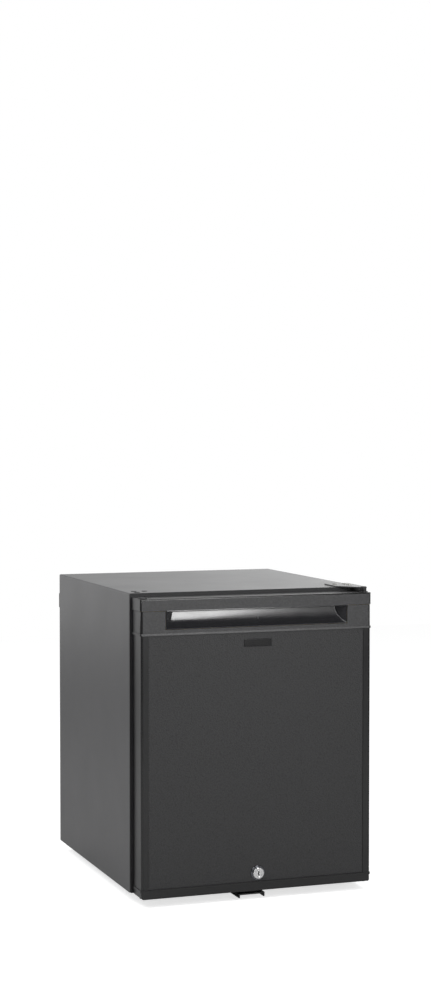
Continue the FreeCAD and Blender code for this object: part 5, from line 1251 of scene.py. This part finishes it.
# %% Knob with finger bar and pointer
KNOB_MM = 12.0
KNOB_LENGTH_MM = 11.0
FLUTE_DEPTH_MM = 0.6
KNOB_ROLL_MM = 1.6
FINGER_MM = 4.0
FINGER_HALF_MM = (2.5, 10.2)
FINGER_SUNK_MM = 2.0
POINTER_HALF_MM = 0.45
POINTER_RUN_MM = (1.5, 8.2)


def knob():
    """The fluted disc, a rounded finger bar on its face, and the pointer line let into the bar."""
    low, high = box_mm("thermostat_knob")
    x, z = (low.x + high.x) / 2, (low.z + high.z) / 2
    disc = grown("fluted_disc", flute_jig(), knob_grey, Radius=KNOB_MM * MM, Length=KNOB_LENGTH_MM * MM,
                 Flutes=30, Depth=FLUTE_DEPTH_MM * MM, Roll=KNOB_ROLL_MM * MM, Facing=FORWARD,
                 Seat=(x * MM, (low.y + FINGER_MM + KNOB_LENGTH_MM / 2) * MM, z * MM))
    corners = [(x + sx * FINGER_HALF_MM[0], z + sz * FINGER_HALF_MM[1], 2.4) for sx, sz in SQUARE]
    bar = prism("finger_bar", eased(corners, 8), "y", low.y, low.y + FINGER_MM + FINGER_SUNK_MM)
    rounded_edges(bar, 0.9, 3, 0.05)
    bar = settled(bar, "finger_bar")
    whole = bmesh.new()
    for part in (disc, bar):
        whole.from_mesh(part.data)
        bpy.data.objects.remove(part)
    placed(from_skin("temperature_knob", whole), "thermostat", knob_grey, "knob_plastic",
           "thermostat_knob")
    mark = [(x + sx * POINTER_HALF_MM, z + POINTER_RUN_MM[sz > 0], 0.2) for sx, sz in SQUARE]
    line = prism("knob_pointer", eased(mark, 3), "y", low.y - 0.05, low.y + 0.5)
    return placed(line, "thermostat", painted_shade_and_mark_black, "knob_plastic")


knob()
print("knob made")

# %% [markdown]
# ## Wire shelves
# A shelf is a rectangle of thick wire with thin wires welded across and a raised guard at the
# front. A wire is a path with a circle drawn along it, so the tree bends a rectangle's corners
# with a fillet, lays one straight wire on every point of a line, and sweeps a circle along
# them all.

# %% Shelf jig
def shelf_jig():
    """A welded wire shelf in the XY plane, its guard standing at the front."""
    tree, given, result = new_jig("wire_shelf", Width=0.3, Depth=0.2, Wire=0.0025, Bar=0.0016, Bars=11,
                                  Guard=0.018, Bend=0.008, Centre=(0.0, 0.0, 0.0))

    def swept(path, radius, corners):
        ring = add(tree, "GeometryNodeCurvePrimitiveCircle", {"Resolution": corners, "Radius": radius})
        return add(tree, "GeometryNodeCurveToMesh", {"Curve": path, "Profile Curve": ring,
                                                     "Fill Caps": True})

    def bent(width, height):
        loop = add(tree, "GeometryNodeCurvePrimitiveQuadrilateral", {"Width": width, "Height": height})
        return add(tree, "GeometryNodeFilletCurve", {"Curve": loop, "Count": 8, "Radius": given["Bend"],
                                                     "Limit Radius": True}, mode="POLY")

    width, depth, guard, bar_radius = given["Width"], given["Depth"], given["Guard"], given["Bar"]
    front = add(tree, "ShaderNodeMath", {0: depth, 1: -0.5}, operation="MULTIPLY")
    back = add(tree, "ShaderNodeMath", {0: depth, 1: 0.5}, operation="MULTIPLY")
    at_front = add(tree, "ShaderNodeCombineXYZ", {"Y": front})
    at_back = add(tree, "ShaderNodeCombineXYZ", {"Y": back})
    gaps = add(tree, "ShaderNodeMath", {0: given["Bars"], 1: 1.0}, operation="ADD")
    pitch = add(tree, "ShaderNodeMath", {0: width, 1: gaps}, operation="DIVIDE")
    half = add(tree, "ShaderNodeMath", {0: width, 1: 0.5}, operation="MULTIPLY")
    first = add(tree, "ShaderNodeMath", {0: pitch, 1: half}, operation="SUBTRACT")
    frame_wire = swept(bent(width, depth), given["Wire"], 20)

    # The thin wires: one straight wire, put on every point of a line from left to right.
    start = add(tree, "ShaderNodeCombineXYZ", {"X": first})
    step = add(tree, "ShaderNodeCombineXYZ", {"X": pitch})
    spots = add(tree, "GeometryNodeMeshLine", {"Count": given["Bars"], "Start Location": start,
                                               "Offset": step})
    bar_path = add(tree, "GeometryNodeCurvePrimitiveLine", {"Start": at_front, "End": at_back})
    bar = swept(bar_path, bar_radius, 12)
    bars = add(tree, "GeometryNodeInstanceOnPoints", {"Points": spots, "Instance": bar})

    # The guard: a bent loop that stands on the front wire, with a post in its middle.
    guard_half = add(tree, "ShaderNodeMath", {0: half, 1: pitch}, operation="SUBTRACT")
    guard_width = add(tree, "ShaderNodeMath", {0: guard_half, 1: 2.0}, operation="MULTIPLY")
    guard_middle = add(tree, "ShaderNodeMath", {0: guard, 1: 0.5}, operation="MULTIPLY")
    above = add(tree, "ShaderNodeCombineXYZ", {"Y": front, "Z": guard_middle})
    rail = add(tree, "GeometryNodeTransform", {"Geometry": bent(guard_width, guard),
                                               "Rotation": (math.pi / 2, 0.0, 0.0),
                                               "Translation": above})
    guard_wire = swept(rail, bar_radius, 12)
    top = add(tree, "ShaderNodeCombineXYZ", {"Y": front, "Z": guard})
    post = swept(add(tree, "GeometryNodeCurvePrimitiveLine", {"Start": at_front, "End": top}),
                 bar_radius, 12)
    whole = add(tree, "GeometryNodeJoinGeometry", {"Geometry": [frame_wire, bars, guard_wire, post]})
    moved = add(tree, "GeometryNodeTransform", {"Geometry": whole, "Translation": given["Centre"]})
    return finish_jig(tree, given, result, moved)


SHELF_JIG = shelf_jig()


# %% Two shelves
def wire_shelf(node):
    """A shelf in the place of the model's shelf."""
    low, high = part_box(node)
    wire, bar, guard = 2.5 * MM, 1.6 * MM, 18.0 * MM
    centre = ((low.x + high.x) / 2, (low.y + high.y) / 2, low.z + wire)
    item = grown(node + "_wires", SHELF_JIG, white_powder, Width=high.x - low.x - wire * 2,
                 Depth=high.y - low.y - wire * 2, Wire=wire, Bar=bar, Bars=11, Guard=guard,
                 Bend=7.0 * MM, Centre=centre)
    return placed(item, node, white_powder, "white_wire", node)


for shelf in ("lower_shelf", "upper_shelf"):
    made = wire_shelf(shelf)
    print(made.name, "faces:", len(made.data.polygons))

# %% [markdown]
# ## The cooling unit's fins
# The condenser is a tube with square sheet fins pressed on. One fin is a filleted square drawn
# out by its thickness, with the collar that grips the tube, and a line of points carries the
# copies.

# %% Fin jig
def fin_jig():
    """A stack of square fins with collars on a sleeve, along X."""
    tree, given, result = new_jig("condenser_fin_stack", Start=(0.0, 0.0, 0.0), Length=0.2, Fins=22,
                                  Side=0.048, Round=0.004, Thickness=0.001, Sleeve=0.009)
    side, length, thickness, bore = given["Side"], given["Length"], given["Thickness"], given["Sleeve"]
    quarter = (0.0, math.pi / 2, 0.0)

    # One fin: a filleted square with a thickness, and the collar that grips the tube.
    square = add(tree, "GeometryNodeCurvePrimitiveQuadrilateral", {"Width": side, "Height": side})
    round_off = add(tree, "GeometryNodeFilletCurve", {"Curve": square, "Count": 5,
                                                      "Radius": given["Round"]}, mode="POLY")
    sheet = add(tree, "GeometryNodeFillCurve", {"Curve": round_off}, mode="NGONS")
    raised = add(tree, "GeometryNodeExtrudeMesh", {"Mesh": sheet, "Offset Scale": thickness})
    under = add(tree, "GeometryNodeFlipFaces", {"Mesh": sheet})
    plate = add(tree, "GeometryNodeJoinGeometry", {"Geometry": [raised, under]})
    closed = add(tree, "GeometryNodeMergeByDistance", {"Geometry": plate, "Distance": 1e-6})
    collar_radius = add(tree, "ShaderNodeMath", {0: bore, 1: 1.12}, operation="MULTIPLY")
    collar_depth = add(tree, "ShaderNodeMath", {0: thickness, 1: 3.0}, operation="MULTIPLY")
    collar = add(tree, "GeometryNodeMeshCylinder", {"Vertices": 32, "Radius": collar_radius,
                                                    "Depth": collar_depth})
    fin = add(tree, "GeometryNodeJoinGeometry", {"Geometry": [closed, collar]})
    upright = add(tree, "GeometryNodeTransform", {"Geometry": fin, "Rotation": quarter})

    # The stack: a fin on every point of a line, with the last one's thickness kept inside.
    gaps = add(tree, "ShaderNodeMath", {0: given["Fins"], 1: 1.0}, operation="SUBTRACT")
    run = add(tree, "ShaderNodeMath", {0: length, 1: thickness}, operation="SUBTRACT")
    pitch = add(tree, "ShaderNodeMath", {0: run, 1: gaps}, operation="DIVIDE")
    step = add(tree, "ShaderNodeCombineXYZ", {"X": pitch})
    spots = add(tree, "GeometryNodeMeshLine", {"Count": given["Fins"], "Start Location": given["Start"],
                                               "Offset": step})
    stack = add(tree, "GeometryNodeInstanceOnPoints", {"Points": spots, "Instance": upright})

    # The sleeve through them all.
    tube = add(tree, "GeometryNodeMeshCylinder", {"Vertices": 48, "Radius": bore, "Depth": length})
    half = add(tree, "ShaderNodeMath", {0: length, 1: 0.5}, operation="MULTIPLY")
    half_way = add(tree, "ShaderNodeCombineXYZ", {"X": half})
    middle = add(tree, "ShaderNodeVectorMath", {0: given["Start"], 1: half_way}, operation="ADD")
    sleeve = add(tree, "GeometryNodeTransform", {"Geometry": tube, "Rotation": quarter,
                                                 "Translation": middle})
    return finish_jig(tree, given, result, stack, sleeve)


def condenser_stack():
    """Fins in the place of the model's fins."""
    low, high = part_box("condenser_fins")
    start = (low.x, (low.y + high.y) / 2, (low.z + high.z) / 2)
    item = grown("condenser_fin_stack", fin_jig(), aluminium, Start=start, Length=high.x - low.x,
                 Fins=22, Side=high.y - low.y, Round=4.0 * MM, Thickness=1.0 * MM, Sleeve=9.0 * MM)
    return placed(item, "cabinet", aluminium, "cooling_aluminium", "condenser_fins")


print("fin stack faces:", len(condenser_stack().data.polygons))

# %% Rest of the rear
REAR_EDGES = (
    ("boiler_casing", "boiler_jacket", 0.8, 3, 8.0),
    ("unit_straps", "unit_holding_straps", 0.3, 2, 4.0),
    ("control_box", "mains_box", 0.8, 3, 4.0),
    ("control_box_lid", "mains_box_lid", 0.6, 3, 4.0),
    ("cable_gland", "lead_gland", 0.4, 2, 0.4),
    ("water_tray", "evaporation_tray", 0.6, 3, 4.0),
    ("absorber_vessel", "absorber_drum", 0.3, 2, 1.0),
)
for row in REAR_EDGES:
    softened(*row)
print("rear pieces softened")

# %% [markdown]
# ## Small screws of the rear
# A rear sheet, a holding strap and a box lid are each screwed on. These screws are too small
# for the solid model, but anyone who turns the fridge round looks for them.

# %% Rear screws
def small_screws(name, spots, facing):
    """Small pan heads on spots given in mm."""
    points = [Vector(spot) * MM for spot in spots]
    item = grown(name, SCREW_JIG, zinc, points, Radius=3.2 * MM, Height=1.3 * MM, Shank=1.5 * MM,
                 Length=5.0 * MM, Facing=facing)
    return placed(item, "cabinet", zinc, "zinc_steel")


SIDE_SCREWS_MM = ((-180, 180), (50, 120, 240, 400))
TOP_SCREWS_MM = ((-120, 0, 120), (486,))
STRAP_SCREWS_MM = ((-191, 191), (161, 311))
LID_MARGIN_MM = 6


def crossings(grid, y):
    """The spots in mm where a grid's columns and rows meet."""
    return [(x, y, z) for x in grid[0] for z in grid[1]]


rear = box_mm("rear_panel")[1].y
strap_back = box_mm("unit_straps")[1].y
lid_low, lid_high = box_mm("control_box_lid")
lid_grid = [(low + LID_MARGIN_MM, high - LID_MARGIN_MM)
            for low, high in ((lid_low.x, lid_high.x), (lid_low.z, lid_high.z))]
small_screws("rear_sheet_screws", crossings(SIDE_SCREWS_MM, rear) + crossings(TOP_SCREWS_MM, rear),
             BACKWARD)
small_screws("strap_screws", crossings(STRAP_SCREWS_MM, strap_back), BACKWARD)
small_screws("box_lid_screws", crossings(lid_grid, lid_high.y), BACKWARD)
print("rear screws set")

# %% [markdown]
# ## Stage, light and camera
# A product picture like this one is taken in a white cove. A pale floor carries the shadow; a
# white world stands for the paper behind. To the right of the camera stands a tall, narrow
# strip light: it draws the bright streak in the polished trough. A softbox at the left lights
# the door from its top left corner, and two weak ones fill the side and the roof. The rest of
# the room is dim, and that dimness is what the glossy corners mirror.

# %% Floor
FLOOR_X = (-2.2, 5.0)
FLOOR_Y = (-3.0, 3.6)
FLOOR_GLOW = 0.7


def cove_floor():
    """A pale paper floor; beyond its edges the room takes over, which only reflections show."""
    sheet = bmesh.new()
    corners = [(FLOOR_X[a], FLOOR_Y[b]) for a, b in ((0, 0), (1, 0), (1, 1), (0, 1))]
    sheet.faces.new([sheet.verts.new((x, y, 0.0)) for x, y in corners])
    mesh = bpy.data.meshes.new("cove_floor")
    sheet.to_mesh(mesh)
    sheet.free()
    item = shown("cove_floor", mesh)
    material, tree, shader, _ = new_finish("cove_paint", 0.9)
    shader.inputs["Base Color"].default_value = linear("#f0f0f0")
    shader.inputs["Specular IOR Level"].default_value = 0.0
    rays = add(tree, "ShaderNodeLightPath")
    shader.inputs["Emission Color"].default_value = linear("#ffffff")
    bright = add(tree, "ShaderNodeMath", {0: rays.outputs["Is Camera Ray"], 1: FLOOR_GLOW},
                 operation="MULTIPLY")
    tree.links.new(bright.outputs["Value"], shader.inputs["Emission Strength"])
    mesh.materials.append(material)
    return item


# %% World
FILL_LEVEL = 0.3


def white_world():
    """White paper behind the fridge, a dim room in front and above, soft fill for the rest."""
    world = bpy.data.worlds.new("cove_light")
    bpy.context.scene.world = world
    world.use_nodes = True
    tree = world.node_tree
    rays = add(tree, "ShaderNodeLightPath").outputs
    way = add(tree, "ShaderNodeTexCoord").outputs["Generated"]
    split = add(tree, "ShaderNodeSeparateXYZ", {"Vector": way}).outputs
    # Each part of the room: the axis that it changes along, from where to where on that axis,
    # and its brightness at both ends.
    room = {
        "paper": ("Y", (-0.05, 0.4), (0.0, 1.0)),
        "front": ("X", (-0.6, 0.1), (0.04, 0.36)),
        "low": ("Z", (-0.25, 0.0), (0.3, 1.0)),
        "backdrop": ("X", (0.2, 0.55), (0.64, 2.2)),
        "left": ("X", (-0.35, -0.05), (0.55, 0.0)),
        "roof": ("Z", (0.3, 0.85), (1.0, 0.15)),
    }
    part = {
        name: add(tree, "ShaderNodeMapRange", {"Value": split[axis], "From Min": start, "From Max": stop,
                                               "To Min": first, "To Max": last},
                  interpolation_type="SMOOTHSTEP")
        for name, (axis, (start, stop), (first, last)) in room.items()
    }
    dim = add(tree, "ShaderNodeMath", {0: part["front"], 1: part["low"]}, operation="MULTIPLY")
    lit = add(tree, "ShaderNodeMath", {0: part["backdrop"], 1: part["left"]}, operation="ADD")
    walls = add(tree, "ShaderNodeMix", {"Factor": part["paper"], "A": dim, "B": lit}, data_type="FLOAT")
    seen = add(tree, "ShaderNodeMath", {0: walls.outputs["Result"], 1: part["roof"]},
               operation="MULTIPLY")
    mirrored = add(tree, "ShaderNodeMix", {"Factor": rays["Is Glossy Ray"], "A": FILL_LEVEL, "B": seen},
                   data_type="FLOAT")
    clear = add(tree, "ShaderNodeMath", {0: rays["Is Camera Ray"], 1: rays["Is Transmission Ray"]},
                operation="MAXIMUM")
    level = add(tree, "ShaderNodeMix", {"Factor": clear, "A": mirrored.outputs["Result"], "B": 1.0},
                data_type="FLOAT")
    sky = tree.nodes["Background"]
    tree.links.new(level.outputs["Result"], sky.inputs["Strength"])
    sky.inputs["Color"].default_value = linear("#ffffff")


cove_floor()
white_world()
print("floor and world set")


# %% Lamps
def softbox(name, spot, aim, width, height, watts):
    """A rectangular lamp that points at a spot on the fridge."""
    lamp = bpy.data.lights.new(name, "AREA")
    lamp.shape = "RECTANGLE"
    lamp.size = width
    lamp.size_y = height
    lamp.energy = watts
    item = bpy.data.objects.new(name, lamp)
    item.location = spot
    item.rotation_euler = (Vector(aim) - Vector(spot)).to_track_quat("-Z", "Y").to_euler()
    bpy.context.scene.collection.objects.link(item)
    return item


# Name, place and aim in metres, width, height, watts.
LAMPS = (
    ("front_strip", (0.40, -1.6, 1.15), (0.0, -0.22, 0.45), 0.27, 1.35, 13.0),
    ("left_softbox", (-1.3, -1.3, 1.7), (-0.15, -0.2, 0.4), 0.9, 0.9, 17.0),
    ("side_softbox", (-1.3, 0.9, 1.5), (-0.2, 0.1, 0.45), 0.6, 0.6, 4.0),
    ("top_softbox", (0.0, 0.5, 2.4), (0.0, 0.0, 0.4), 1.8, 1.4, 8.0),
)
for lamp in LAMPS:
    softbox(*lamp)
print("lamps set")

# %% [markdown]
# ## Camera
# The camera's place was worked out from the corners of the box in the photograph: about 3.2 m
# away, left of centre and a little above the roof, so the roof shows as a thin bright wedge.

# %% Camera
FRAME_HEIGHT_PX = 1000
SENSOR_MM = 36.0
FOCAL_PX = 1932.0
YAW = 0.3458
PITCH = 0.0383
CAMERA_PLACE = (-1.1070, -3.1066, 0.7615)
camera_data = bpy.data.cameras.new("photo_camera")
camera_data.sensor_width = SENSOR_MM
camera_data.lens = FOCAL_PX * SENSOR_MM / FRAME_HEIGHT_PX
camera_data.clip_end = 100.0
camera = bpy.data.objects.new("photo_camera", camera_data)
camera.location = CAMERA_PLACE
camera.rotation_euler = (math.pi / 2 - PITCH, 0.0, -YAW)
bpy.context.scene.collection.objects.link(camera)
bpy.context.scene.camera = camera
bpy.context.scene.view_settings.view_transform = "Standard"
print("camera at", tuple(camera.location), "lens", round(camera_data.lens, 2))
